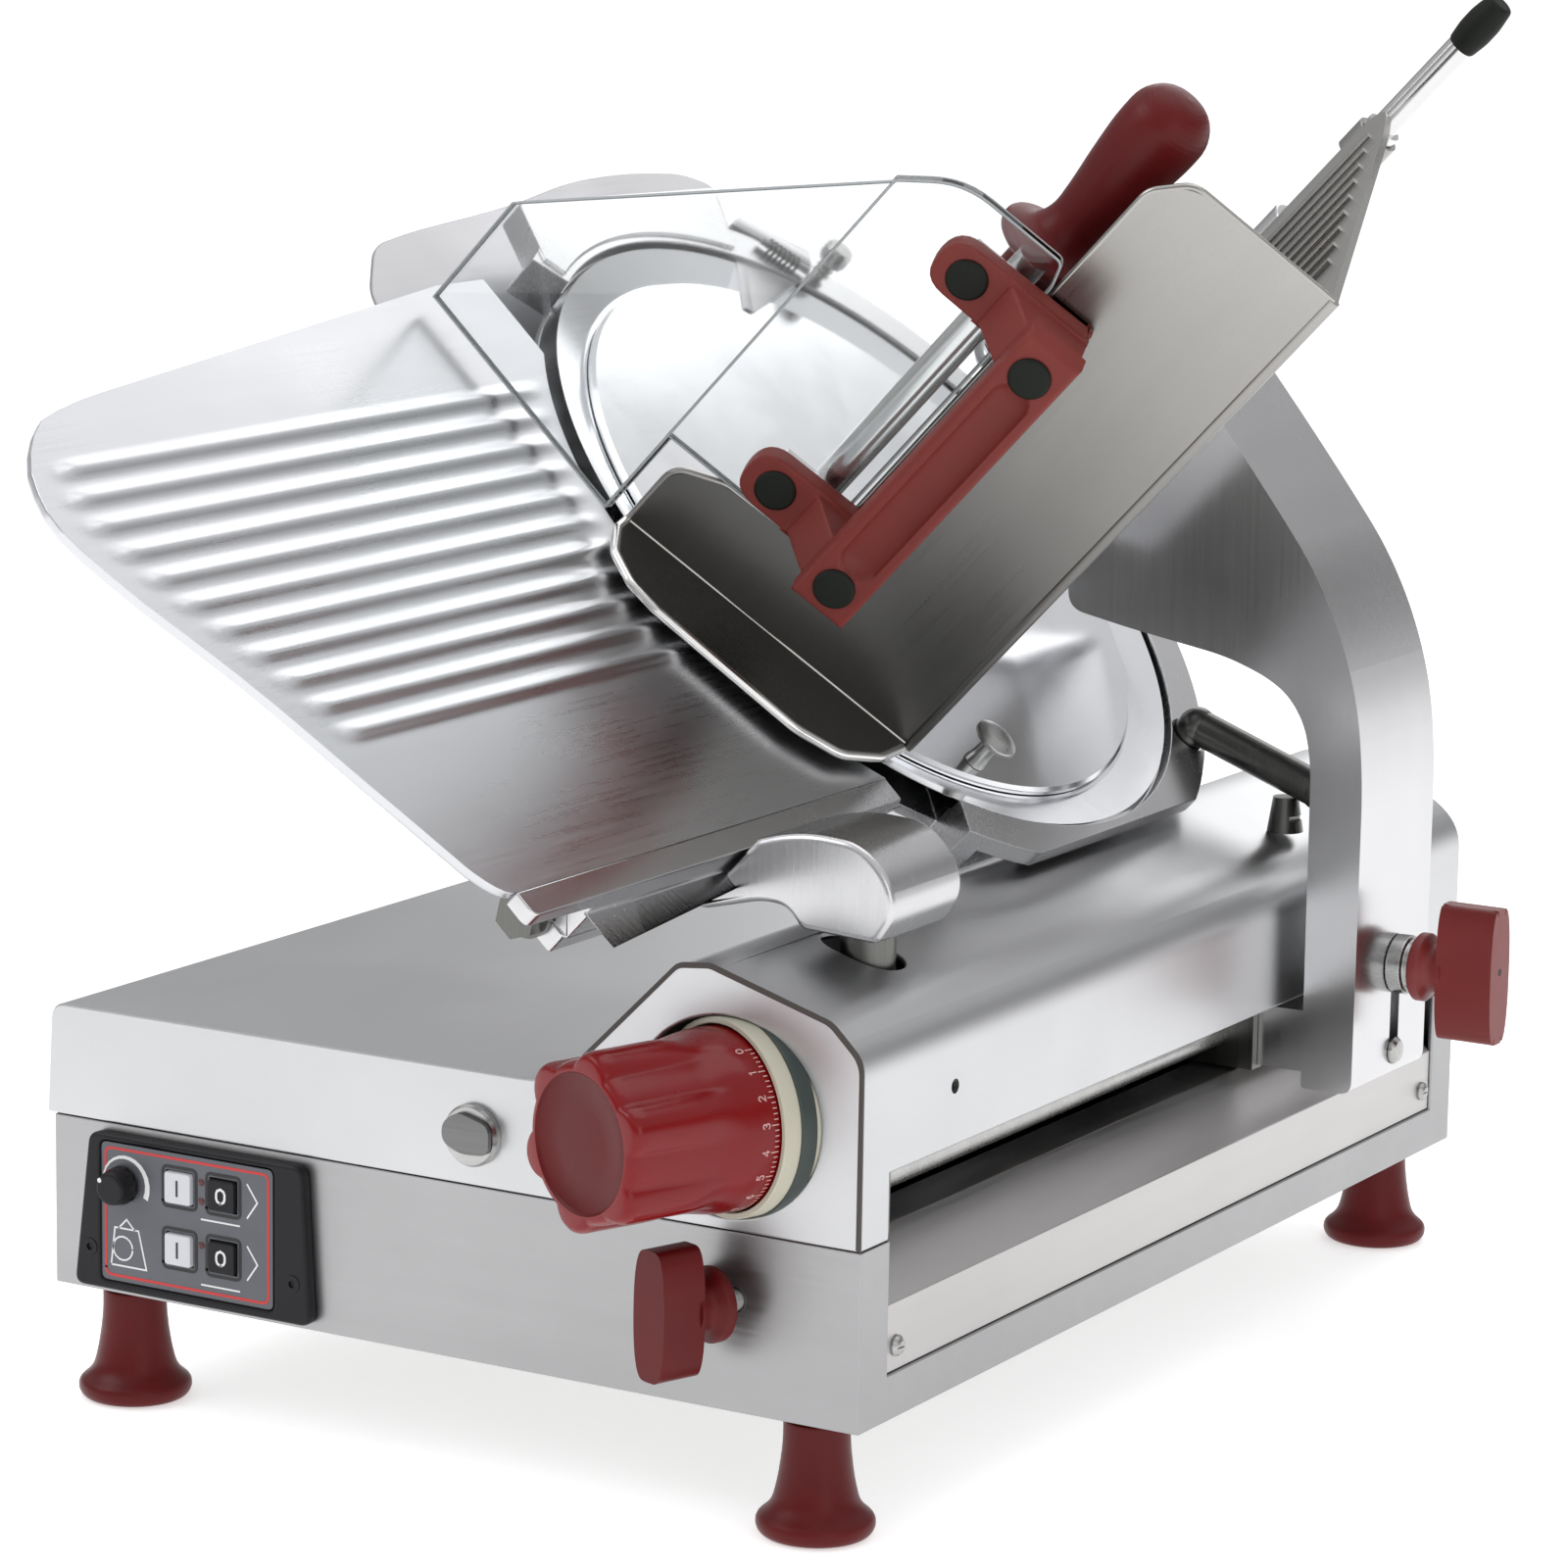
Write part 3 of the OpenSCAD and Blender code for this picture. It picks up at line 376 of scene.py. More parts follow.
# grey for the painted glint along the clear guards' edges
M["painted_edge_glint"] = plastic("painted_edge_glint", (0.40, 0.42, 0.43), 0.3, 1800, 0.03, vary=0.04)
M["seam_dark"] = plastic("seam_dark", (0.055, 0.045, 0.04), 0.45, 1800, 0.05, vary=0.08)
M["brick_red"] = plastic("brick_red", (0.180, 0.0260, 0.0200), 0.5, 1300, 0.16, spec=0.3)
M["black_plastic"] = plastic("black_plastic", (0.010, 0.010, 0.012), 0.42, 1500, 0.12, spec=0.25)
M["black_rubber"] = plastic("black_rubber", (0.010, 0.012, 0.009), 0.55, 1500, 0.2, spec=0.18)
M["membrane"] = plastic("membrane", (0.10, 0.105, 0.12), 0.4, 2200, 0.08)
M["white_key"] = plastic("white_key", (0.62, 0.63, 0.66), 0.35, 2200, 0.05, vary=0.04)
M["led_red"] = plastic("led_red", (0.10, 0.02, 0.02), 0.2, 2200, 0.02)
M["collar_green"] = plastic("collar_green", (0.030, 0.042, 0.038), 0.35, 1800, 0.05, vary=0.08)
M["cream_plastic"] = plastic("cream_plastic", (0.52, 0.50, 0.40), 0.4, 1800, 0.08, vary=0.06)
M["clear_sheet"] = clear("clear_sheet")
M["red_print"] = plastic("red_print", (0.55, 0.02, 0.02), 0.35, 2200, 0.03, vary=0.04)
M["white_print"] = plastic("white_print", (0.75, 0.75, 0.76), 0.4, 2200, 0.03, vary=0.03)
M["black_print"] = plastic("black_print", (0.01, 0.01, 0.012), 0.4, 2200, 0.03, vary=0.03)
# near-black: painted shade standing in for the dark inside of a hole
M["hole_shade_black"] = plastic("hole_shade_black", (0.004, 0.004, 0.004), 0.6, 2200, 0.03, vary=0.03)

slots = {s["node"]: s["material_slot"] for s in frame["record"]["subparts"]}
M["cover_steel"] = brushed("cover_steel", (0.60, 0.605, 0.615), (0, 1, 0), (0.30, 0.36), dark=0.985, bstr=0.02)
M["oil_dark"] = brushed("oil_dark", (0.20, 0.20, 0.20), (1, 0, 0), (0.25, 0.4), dark=0.8, grain=900, bstr=0.06)
M["knob_red"] = plastic("knob_red", (0.185, 0.020, 0.018), 0.4, 1500, 0.10, spec=0.4)
own = {"lower_body": "base_front", "side_panel": "side_painted_reflection", "oil_flap": "oil_dark", "deflector": "sheet_grey", "top_cover": "cover_steel", "handle_brackets": "brick_red"}
for name, o in N.items():
    o.data.materials.clear()
    o.data.materials.append(M[own.get(name, slots[name])])

mt, nt, b = new_mat("floor")
nf = noise(nt, coords(nt, (1, 1, 1)), 2.0, 3, 0.5)
link(nt, ramp(nt, nf, ((0.3, (0.86, 0.86, 0.86)), (0.7, (0.89, 0.89, 0.89)))), b.inputs["Base Color"])
b.inputs["Roughness"].default_value = 0.9
b.inputs["Specular IOR Level"].default_value = 0.1
b.inputs["Emission Color"].default_value = (1, 1, 1, 1)
b.inputs["Emission Strength"].default_value = 0.55
fm.materials.append(mt)

# ------------------------------------------------------------------ mesh helpers
MM = 0.001


def sharpen(me, deg=36):
    bm = bmesh.new(); bm.from_mesh(me)
    for f in bm.faces:
        f.smooth = True
    for e_ in bm.edges:
        e_.smooth = not (len(e_.link_faces) != 2 or e_.calc_face_angle(0) > math.radians(deg))
    bm.to_mesh(me); bm.free()


def put(name, me, mats, body, deg=36, wn_=False):
    o = bpy.data.objects.new(name, me)
    bpy.context.scene.collection.objects.link(o)
    for mm_ in (mats if isinstance(mats, (list, tuple)) else [mats]):
        me.materials.append(mm_)
    sharpen(me, deg)
    if wn_:
        w = o.modifiers.new("wn", "WEIGHTED_NORMAL")
        w.keep_sharp = True
        w.weight = 80
    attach(o, body)
    return o


def raw(name, verts, faces, mats, body, deg=36):
    me = bpy.data.meshes.new(name)
    me.from_pydata([tuple(v) for v in verts], [], faces)
    me.validate()
    bm = bmesh.new(); bm.from_mesh(me)
    bmesh.ops.remove_doubles(bm, verts=bm.verts, dist=1e-6)
    bmesh.ops.recalc_face_normals(bm, faces=bm.faces)
    bm.to_mesh(me); bm.free()
    return put(name, me, mats, body, deg)


def body_name(node):
    b_ = body_of(N[node])
    return b_[0] if isinstance(b_, (list, tuple)) else b_


def soften(node, width, seg=2, angle=30, diss=0.5, minloop=14, keep=None, deg=36, clamp=False):
    "the CAD solid with its sharp edges rounded, as a casting or a pressing has them"
    bm = bmesh.new(); bm.from_mesh(N[node].data)
    bmesh.ops.remove_doubles(bm, verts=bm.verts, dist=2e-5)
    bmesh.ops.dissolve_limit(bm, angle_limit=math.radians(diss), use_dissolve_boundaries=False,
                             verts=bm.verts[:], edges=bm.edges[:])
    es = [x for x in bm.edges if len(x.link_faces) == 2 and x.calc_face_angle(0) > math.radians(angle)]
    par = {}

    def find(a):
        while par[a] != a:
            par[a] = par[par[a]]; a = par[a]
        return a
    for x in es:
        for v in x.verts:
            par.setdefault(v.index, v.index)
    for x in es:
        a, c = find(x.verts[0].index), find(x.verts[1].index)
        par[a] = c
    grp = {}
    for x in es:
        g_ = grp.setdefault(find(x.verts[0].index), [Vector((1e9,) * 3), Vector((-1e9,) * 3)])
        for v in x.verts:
            for k_ in range(3):
                g_[0][k_] = min(g_[0][k_], v.co[k_]); g_[1][k_] = max(g_[1][k_], v.co[k_])
    es = [x for x in es if (grp[find(x.verts[0].index)][1] - grp[find(x.verts[0].index)][0]).length > minloop * MM
          and (keep is None or keep((x.verts[0].co + x.verts[1].co) / 2))]
    bmesh.ops.bevel(bm, geom=es, offset=width * MM, offset_type="OFFSET", segments=seg, profile=0.5,
                    affect="EDGES", clamp_overlap=clamp)
    me = bpy.data.meshes.new(node + "_soft")
    bm.to_mesh(me); bm.free()
    me.validate()
    o = put(node + "_soft", me, M[own.get(node, slots[node])], body_name(node), deg, wn_=True)
    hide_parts(node)
    return o


def lathe(name, prof, mapf, mats, body, seg=64, deg=36):
    "prof: (r, z) pairs from the axis out and back; mapf(x, y, z) gives a point"
    vs, fs = [], []
    n_ = len(prof)
    for i_ in range(seg):
        t_ = 2 * math.pi * i_ / seg
        for r_, z_ in prof:
            vs.append(mapf(r_ * math.cos(t_), r_ * math.sin(t_), z_))
    for i_ in range(seg):
        j_ = (i_ + 1) % seg
        for k_ in range(n_ - 1):
            fs.append((i_ * n_ + k_, j_ * n_ + k_, j_ * n_ + k_ + 1, i_ * n_ + k_ + 1))
    return raw(name, vs, fs, mats, body, deg)


def prism(name, pts, mapf, h0, h1, mats, body, bev=0.0, seg=2, deg=36, both=False):
    "a flat outline raised from h0 to h1, its upper edge rounded"
    bm = bmesh.new()
    lo = [bm.verts.new(mapf(p[0], p[1], h0)) for p in pts]
    hi = [bm.verts.new(mapf(p[0], p[1], h1)) for p in pts]
    n_ = len(pts)
    bm.faces.new(lo[::-1]); top = bm.faces.new(hi)
    for i_ in range(n_):
        j_ = (i_ + 1) % n_
        bm.faces.new((lo[i_], lo[j_], hi[j_], hi[i_]))
    if bev:
        es = list(top.edges)
        if both:
            bm.faces.ensure_lookup_table()
            es += list(bm.faces[0].edges)
        bmesh.ops.bevel(bm, geom=es, offset=bev * MM, offset_type="OFFSET", segments=seg, profile=0.5,
                        affect="EDGES", clamp_overlap=True)
    bmesh.ops.recalc_face_normals(bm, faces=bm.faces)
    bmesh.ops.triangulate(bm, faces=[f for f in bm.faces if len(f.verts) > 4])
    me = bpy.data.meshes.new(name)
    bm.to_mesh(me); bm.free()
    return put(name, me, mats, body, deg)


def tube(name, path, r_, mats, body, seg=10, closed=False):
    "a round bar along a path of points"
    path = [Vector(p) for p in path]
    vs, fs = [], []
    n_ = len(path)
    t0 = (path[1] - path[0]).normalized()
    s1 = t0.orthogonal().normalized()
    for i_, p in enumerate(path):
        if closed:
            t_ = (path[(i_ + 1) % n_] - path[i_ - 1]).normalized()
        else:
            t_ = (path[min(i_ + 1, n_ - 1)] - path[max(i_ - 1, 0)]).normalized()
        s1 = (s1 - t_ * s1.dot(t_)).normalized()
        s2 = t_.cross(s1)
        rr_ = r_[i_] if hasattr(r_, "__len__") else r_
        for k_ in range(seg):
            a_ = 2 * math.pi * k_ / seg
            vs.append(p + (s1 * math.cos(a_) + s2 * math.sin(a_)) * rr_ * MM)
    m_ = n_ if closed else n_ - 1
    for i_ in range(m_):
        j_ = (i_ + 1) % n_
        for k_ in range(seg):
            l_ = (k_ + 1) % seg
            fs.append((i_ * seg + k_, i_ * seg + l_, j_ * seg + l_, j_ * seg + k_))
    if not closed:
        fs.append(tuple(range(seg))[::-1]); fs.append(tuple((n_ - 1) * seg + k_ for k_ in range(seg)))
    return raw(name, vs, fs, mats, body, 50)


def arcpts(p, r_, n_=6):
    "outline with rounded corners; p: points, r_: one radius or one each"
    out = []
    k_ = len(p)
    for i_ in range(k_):
        P0, P1, P2 = Vector(p[i_ - 1]), Vector(p[i_]), Vector(p[(i_ + 1) % k_])
        rr_ = r_[i_] if hasattr(r_, "__len__") else r_
        a_, b_ = (P0 - P1).normalized(), (P2 - P1).normalized()
        ang = math.acos(max(-1, min(1, a_.dot(b_))))
        if rr_ <= 0 or ang > 3.1:
            out.append(tuple(P1)); continue
        d_ = min(rr_ / math.tan(ang / 2), (P0 - P1).length * 0.49, (P2 - P1).length * 0.49)
        q0, q1 = P1 + a_ * d_, P1 + b_ * d_
        for s_ in range(n_ + 1):
            t_ = s_ / n_
            out.append(tuple((1 - t_) ** 2 * q0 + 2 * t_ * (1 - t_) * (P1 * 0.94 + (q0 + q1) * 0.03) + t_ ** 2 * q1))
    return out


def ribbon(name, strokes, w_, mapf, h0, h1, mats, body, closed=False):
    "printed strokes: each is a list of 2-D points; drawn as flat raised bands"
    vs, fs = [], []
    for st in strokes:
        st = [Vector(q) for q in st]
        n_ = len(st)
        L, R = [], []
        for i_ in range(n_):
            ds = []
            if i_ > 0: ds.append((st[i_] - st[i_ - 1]).normalized())
            if i_ < n_ - 1: ds.append((st[i_ + 1] - st[i_]).normalized())
            t_ = sum(ds, Vector((0, 0))).normalized()
            nn = Vector((-t_.y, t_.x))
            k_ = 1.0
            if len(ds) == 2:
                k_ = 1 / max(0.5, nn.dot(Vector((-ds[0].y, ds[0].x))))
            ext = Vector((0, 0))
            if i_ == 0: ext = -t_ * w_ * 0.4
            if i_ == n_ - 1: ext = t_ * w_ * 0.4
            L.append(st[i_] + nn * w_ / 2 * k_ + ext); R.append(st[i_] - nn * w_ / 2 * k_ + ext)
        b0 = len(vs)
        for i_ in range(n_):
            for q in (L[i_], R[i_]):
                vs.append(mapf(q.x, q.y, h0)); vs.append(mapf(q.x, q.y, h1))
        for i_ in range(n_ - 1):
            a_ = b0 + i_ * 4; c_ = a_ + 4
            fs += [(a_ + 1, a_ + 3, c_ + 3, c_ + 1), (a_, c_, c_ + 2, a_ + 2), (a_, a_ + 1, c_ + 1, c_), (a_ + 2, c_ + 2, c_ + 3, a_ + 3)]
        e_ = b0 + (n_ - 1) * 4
        fs += [(b0, b0 + 2, b0 + 3, b0 + 1), (e_, e_ + 1, e_ + 3, e_ + 2)]
    me = bpy.data.meshes.new(name)
    me.from_pydata([tuple(v) for v in vs], [], fs)
    bm = bmesh.new(); bm.from_mesh(me)
    bmesh.ops.recalc_face_normals(bm, faces=bm.faces)
    bm.to_mesh(me); bm.free()
    return put(name, me, mats, body, 30)


def smooth01(x, a, b):
    t_ = max(0.0, min(1.0, (x - a) / (b - a)))
    return t_ * t_ * (3 - 2 * t_)


# ------------------------------------------------------------------ softened castings and pressings
soften("lower_body", 0.8, 2)
soften("top_cover", 1.1, 2, minloop=40)
soften("side_panel", 0.5, 2)
soften("control_bezel", 1.5, 3, minloop=30)
soften("carriage_arm", 0.9, 2, minloop=110, clamp=True)
soften("gauge_bracket", 3.0, 3, minloop=30)
soften("blade_housing", 0.55, 2, minloop=60)
soften("gauge_rail", 0.8, 2)
soften("handle_brackets", 1.6, 2)
soften("pusher_arm", 1.4, 2)
soften("pusher_plate", 2.0, 3, minloop=20)
soften("deflector", 0.4, 1, minloop=60)
soften("arm_spacer", 0.9, 2)
soften("speed_knob", 0.7, 2, minloop=8)
for kn in ("blade_start_button", "blade_stop_button", "carriage_start_button", "carriage_stop_button"):
    soften(kn, 0.8, 2, minloop=10)
soften("handle_caps", 0.6, 2, minloop=8)
soften("feet", 1.2, 2, minloop=20)

# ------------------------------------------------------------------ thickness dial
XD = Vector((math.cos(math.radians(20)), -math.sin(math.radians(20)), 0))
ND = Vector((-math.sin(math.radians(20)), -math.cos(math.radians(20)), 0))
ZD = Vector((0, 0, 1))


def DL(x, y, z):
    return D(-57, 9, 117) + (XD * x + ZD * y + ND * z) * MM


def dial_r(t_, z_):
    base = 35.8 if z_ <= 20 else 35.8 - 2.6 * smooth01(z_, 20, 40)
    if z_ > 40:
        base = 33.2 - 1.6 * (z_ - 40) / 40
    ph_ = (math.degrees(t_) - 20) % 60
    if ph_ > 30:
        ph_ -= 60
    lobe = math.cos(math.radians(min(90, abs(ph_) / 17.5 * 90))) ** 0.8
    amp = 36.7 - base
    return base + amp * lobe * smooth01(z_, 22, 50)


vs, fs = [], []
zs = [-15.2, -8, 0, 6, 12, 17, 20, 22, 24, 27, 30, 34, 38, 42, 46, 50, 56, 62, 68, 73, 76]
SEG = 180
rows = []
for z_ in zs:
    rows.append([(dial_r(2 * math.pi * k_ / SEG, z_), z_) for k_ in range(SEG)])
for q in (0.25, 0.5, 0.75, 1.0):  # rounded front edge
    rows.append([(dial_r(2 * math.pi * k_ / SEG, 78) - 3.4 * (1 - math.cos(q * math.pi / 2)), 76 + 5.0 * math.sin(q * math.pi / 2)) for k_ in range(SEG)])
inner = [(27.6, 81.0), (27.0, 80.3), (26.2, 79.7), (14.0, 79.9), (3.0, 80.0)]
for r_, z_ in inner:
    rows.append([(r_, z_)] * SEG)
for row in rows:
    for k_, (r_, z_) in enumerate(row):
        t_ = 2 * math.pi * k_ / SEG
        vs.append(DL(r_ * math.cos(t_), r_ * math.sin(t_), z_))
for i_ in range(len(rows) - 1):
    for k_ in range(SEG):
        l_ = (k_ + 1) % SEG
        fs.append((i_ * SEG + k_, i_ * SEG + l_, (i_ + 1) * SEG + l_, (i_ + 1) * SEG + k_))
fs.append(tuple(range(SEG))[::-1])
fs.append(tuple((len(rows) - 1) * SEG + k_ for k_ in range(SEG)))
o = raw("dial_soft", vs, fs, [M["red_gloss"], M["red_plastic"]], "dial", 40)
for p_ in o.data.polygons:
    c_ = p_.center - DL(0, 0, 0)
    if c_.dot(ND) > 0.0790 and (c_ - ND * c_.dot(ND)).length < 0.0277:
        p_.material_index = 1
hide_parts("thickness_dial")

DIG = {
    "0": [[(0.5, 0), (0.12, 0.2), (0, 0.5), (0.0, 1.0), (0.12, 1.3), (0.5, 1.5), (0.88, 1.3), (1, 1.0), (1, 0.5), (0.88, 0.2), (0.5, 0)]],
    "1": [[(0.2, 1.2), (0.55, 1.5), (0.55, 0)]],
    "2": [[(0.05, 1.2), (0.3, 1.47), (0.7, 1.47), (0.95, 1.2), (0.9, 0.9), (0, 0), (1, 0)]],
    "3": [[(0.05, 1.3), (0.4, 1.5), (0.8, 1.42), (0.93, 1.15), (0.8, 0.88), (0.45, 0.8)], [(0.45, 0.8), (0.85, 0.7), (1, 0.4), (0.8, 0.06), (0.4, 0), (0, 0.2)]],
    "4": [[(0.75, 0), (0.75, 1.5), (0, 0.45), (1.05, 0.45)]],
    "5": [[(0.92, 1.5), (0.15, 1.5), (0.08, 0.85), (0.5, 0.95), (0.9, 0.8), (1, 0.45), (0.8, 0.08), (0.4, 0), (0.02, 0.15)]],
    "6": [[(0.85, 1.4), (0.5, 1.5), (0.15, 1.2), (0, 0.7), (0.05, 0.3), (0.35, 0.0), (0.7, 0.03), (0.97, 0.3), (0.95, 0.65), (0.65, 0.9), (0.3, 0.85), (0.05, 0.6)]],
    "7": [[(0, 1.5), (1, 1.5), (0.4, 0)]],
    "8": [[(0.5, 0.8), (0.15, 0.95), (0.1, 1.25), (0.3, 1.5), (0.7, 1.5), (0.9, 1.25), (0.85, 0.95), (0.5, 0.8), (0.08, 0.6), (0.0, 0.3), (0.25, 0), (0.75, 0), (1, 0.3), (0.92, 0.6), (0.5, 0.8)]],
    "9": [[(0.15, 0.1), (0.5, 0), (0.85, 0.3), (1, 0.8), (0.95, 1.2), (0.65, 1.5), (0.3, 1.47), (0.03, 1.2), (0.05, 0.85), (0.35, 0.6), (0.7, 0.65), (0.95, 0.9)]],
}
strokes = []
for k_ in range(81):
    ang0 = 59 - k_ * 3.4           # degrees round the skirt
    big = k_ % 5 == 0
    x0 = math.radians(ang0) * 35.8
    strokes.append([(x0, 13.4), (x0, 16.4 if big else 15.0)])
    if big:
        s_ = str(k_ // 5)
        for n_, ch in enumerate(s_):
            for st in DIG[ch]:
                strokes.append([(x0 + (q[0] - 0.5 + (n_ - (len(s_) - 1) / 2) * 1.4) * 2.0, 17.6 + q[1] * 2.1) for q in st])


def skirt(x, y, h):
    t_ = x / 35.8
    r_ = 35.8 + h
    return DL(r_ * math.cos(t_), r_ * math.sin(t_), y)


ribbon("dial_scale", strokes, 0.44, skirt, -0.1, 0.12, M["pale_print"], "dial")


# collar sleeve round the dial: cream ring with a dark outer one
lathe("collar_cream", [(36.6, 2.0), (36.6, 12.2), (37.0, 12.8), (38.7, 12.8), (39.2, 12.3), (39.3, 11.6), (39.3, 5.0), (38.5, 4.6), (38.5, 2.0), (36.6, 2.0)], DL, M["cream_plastic"], "base", 96, 30)
lathe("collar_dark", [(38.55, -2.0), (38.55, 4.4), (39.35, 5.2), (39.9, 5.2), (40.2, 4.6), (40.2, -2.0), (38.55, -2.0)], DL, M["collar_green"], "base", 96, 30)


# ------------------------------------------------------------------ two-lobed clamping knobs
def wing_piece(node, mapf, h, l, w, bodyn, mat):
    out = []
    for k_ in range(96):
        t_ = 2 * math.pi * k_ / 96
        c_, s_ = math.cos(t_), math.sin(t_)
        y = l / 2 * (abs(s_) ** 0.62) * (1 if s_ > 0 else -1)
        hw = w / 2 + 1.0 - 2.4 * (abs(y) / (l / 2)) ** 2 * 0.5
        x = hw * (abs(c_) ** 0.42) * (1 if c_ > 0 else -1)
        out.append((x, y))
    o1 = prism(node + "_plate", out, mapf, 12.0, 12.0 + h, M[mat], bodyn, min(4.2, w * 0.22), 4, 36, both=True)
    o2 = lathe(node + "_hub", [(0, 0), (14.2, 0), (15, 0.8), (15, 4.0), (14.2, 5), (11.6, 6.2), (10.4, 8.5), (10.2, 10.5), (10.8, 12.6), (10.8, 14), (0, 14)], mapf, M[mat], bodyn, 64, 40)
    o3 = lathe(node + "_shank", [(0, -17.5), (5.0, -17.5), (5.0, 0.5), (0, 0.5)], mapf, M["machine_steel"], bodyn, 32, 40)
    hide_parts(node)


wing_piece("lock_knob", lambda x, y, z: D(-60, -8.2, 45) + (XD * x + ZD * y + ND * z) * MM, 20, 52, 17, "lock_knob", "red_plastic")
wing_piece("arm_knob", lambda x, y, z: D(43, 411.5, 113) + (Vector((0, 1, 0)) * x + Vector((0, 0, 1)) * y + Vector((1, 0, 0)) * z) * MM, 26, 60, 18, "arm_knob", "knob_red")
# black disc on the knob face: painted shade of a hole
lathe("arm_knob_dot", [(0, 38.05), (1.6, 38.05), (1.9, 37.6), (1.9, 36.0), (0, 36.0)], lambda x, y, z: D(43, 411.5, 113) + (Vector((0, 1, 0)) * x + Vector((0, 0, 1)) * (y + 2) + Vector((1, 0, 0)) * z) * MM,
      M["hole_shade_black"], "arm_knob", 24, 40)

# ------------------------------------------------------------------ gauge plate with soft ribs
OUT = [(496, 146), (481, 9), (468, -110), (466.4, -122), (463.5, -138), (460, -151), (454, -161), (447, -169.5), (438, -177.5), (428, -182.5), (419, -185.4), (410, -185.6), (398, -182.5), (385, -177.5), (372, -172),
       (353, -162), (335, -153), (317, -145), (299, -138), (278, -130), (258, -122), (245, -117), (232, -112), (224, -107), (219, -101.5), (218, -98)]


def left(u_):
    for (u1, y1), (u2, y2) in zip(OUT, OUT[1:]):
        if u2 <= u_ <= u1:
            return y2 + (y1 - y2) * (u_ - u2) / (u1 - u2)
    return OUT[-1][1]


def right(u_):
    d_ = 169.8 ** 2 - (u_ - 333) ** 2
    return min(183.4, 303 - math.sqrt(max(0, d_)))


uu = []
u_ = 496.0
while u_ > 218.0:
    uu.append(u_)
    u_ -= 0.55 if u_ > 455 else (1.36 if u_ > 292 else 3.0)
uu.append(218.0)
NC = 70
vs, fs = [], []
for u_ in uu:
    l_, r_ = left(u_), right(u_)
    for k_ in range(NC + 1):
        q = k_ / NC
        q = 0.5 - 0.5 * math.cos(math.pi * q) if False else q
        y_ = l_ + (r_ - l_) * q
        dist_l = y_ - l_
        dist_r = r_ - y_
        rib = 0.0
        ph_ = (436 - u_) / 13.6
        if -0.5 < ph_ < 10.5:
            f_ = abs(ph_ - round(ph_)) * 13.6
            rib = 1.6 * (0.5 + 0.5 * math.cos(math.pi * min(1, f_ / 5.6)))
        rib *= smooth01(dist_l, 12, 24) * smooth01(dist_r, 3, 34)
        vs.append(F(u_, y_, 93.0 + rib))
W_ = NC + 1
for i_ in range(len(uu) - 1):
    for k_ in range(NC):
        fs.append((i_ * W_ + k_, i_ * W_ + k_ + 1, (i_ + 1) * W_ + k_ + 1, (i_ + 1) * W_ + k_))
# border with a rounded lip, then the underside 7 mm below
border = [(i_, 0) for i_ in range(len(uu))] + [(len(uu) - 1, k_) for k_ in range(1, W_)] + [(i_, NC) for i_ in range(len(uu) - 2, -1, -1)] + [(0, k_) for k_ in range(NC - 1, 0, -1)]
bp = []
for i_, k_ in border:
    l_, r_ = left(uu[i_]), right(uu[i_])
    bp.append(Vector((uu[i_], l_ + (r_ - l_) * k_ / NC)))
nb = len(bp)
cent = Vector((345, 20))
nrm = []
for i_ in range(nb):
    t_ = (bp[(i_ + 1) % nb] - bp[i_ - 1]).normalized()
    n_ = Vector((t_.y, -t_.x))
    if n_.dot(bp[i_] - cent) < 0:
        n_ = -n_
    nrm.append(n_)
base_i = [i_ * W_ + k_ for i_, k_ in border]
prev = base_i
LIP = [(-1.2, -0.35), (-0.5, -1.3), (-0.35, -2.6), (-0.9, -4.0), (-2.4, -5.2), (-5.0, -6.0), (-14.0, -6.4)]
for off, dz in LIP:
    cur = []
    for i_ in range(nb):
        q = bp[i_] + nrm[i_] * (off + 0.35)
        if off == -1.2:
            q = bp[i_] + nrm[i_] * 0.15
        vs.append(F(q.x, q.y, 93.0 + dz)); cur.append(len(vs) - 1)
    for i_ in range(nb):
        j_ = (i_ + 1) % nb
        fs.append((prev[i_], prev[j_], cur[j_], cur[i_]))
    prev = cur
vs.append(F(cent.x, cent.y, 86.6))
for i_ in range(nb):
    fs.append((prev[i_], prev[(i_ + 1) % nb], len(vs) - 1))
o = raw("gauge_plate_soft", vs, fs, M["aluminium_plate"], "gauge", 60)
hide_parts("gauge_plate")

# ------------------------------------------------------------------ control panel marks
FP = lambda x, z, h: D(x, -5.4 - h, z)   # on the membrane, h mm in front
GL = 0.5


def rect(x0, z0, x1, z1, r_=1.5):
    return arcpts([(x0, z0), (x1, z0), (x1, z1), (x0, z1)], r_, 4)


fr = rect(-354.6, 9.6, -272.6, 63.4, 3)
ribbon("panel_frame", [fr + [fr[0]]], 1.1, FP, -0.1, 0.10, M["red_print"], "base")
for (x_, z_, ch, bd, mt_) in ((-317, 51.5, "I", "blade_start", "black_print"), (-295, 51.5, "0", "blade_stop", "white_print"),
                              (-317, 25.5, "I", "carriage_start", "black_print"), (-295, 25.5, "0", "carriage_stop", "white_print")):
    st = [[(x_, z_ - 3), (x_, z_ + 3)]] if ch == "I" else [[(x_ + (q[0] - 0.5) * 4.2, z_ - 3 + q[1] * 4) for q in DIG["0"][0]]]
    ribbon("mark_" + bd, st, 1.0, lambda x, z, h: D(x, -7.4 - h, z), -0.1, 0.12, M[mt_], bd)
    rr_ = rect(x_ - 8.4, z_ - 8.4, x_ + 8.4, z_ + 8.4, 2.2)
    ribbon("surround_" + bd, [rr_ + [rr_[0]]], 1.3, FP, -0.1, 0.16, M["black_print"], "base")
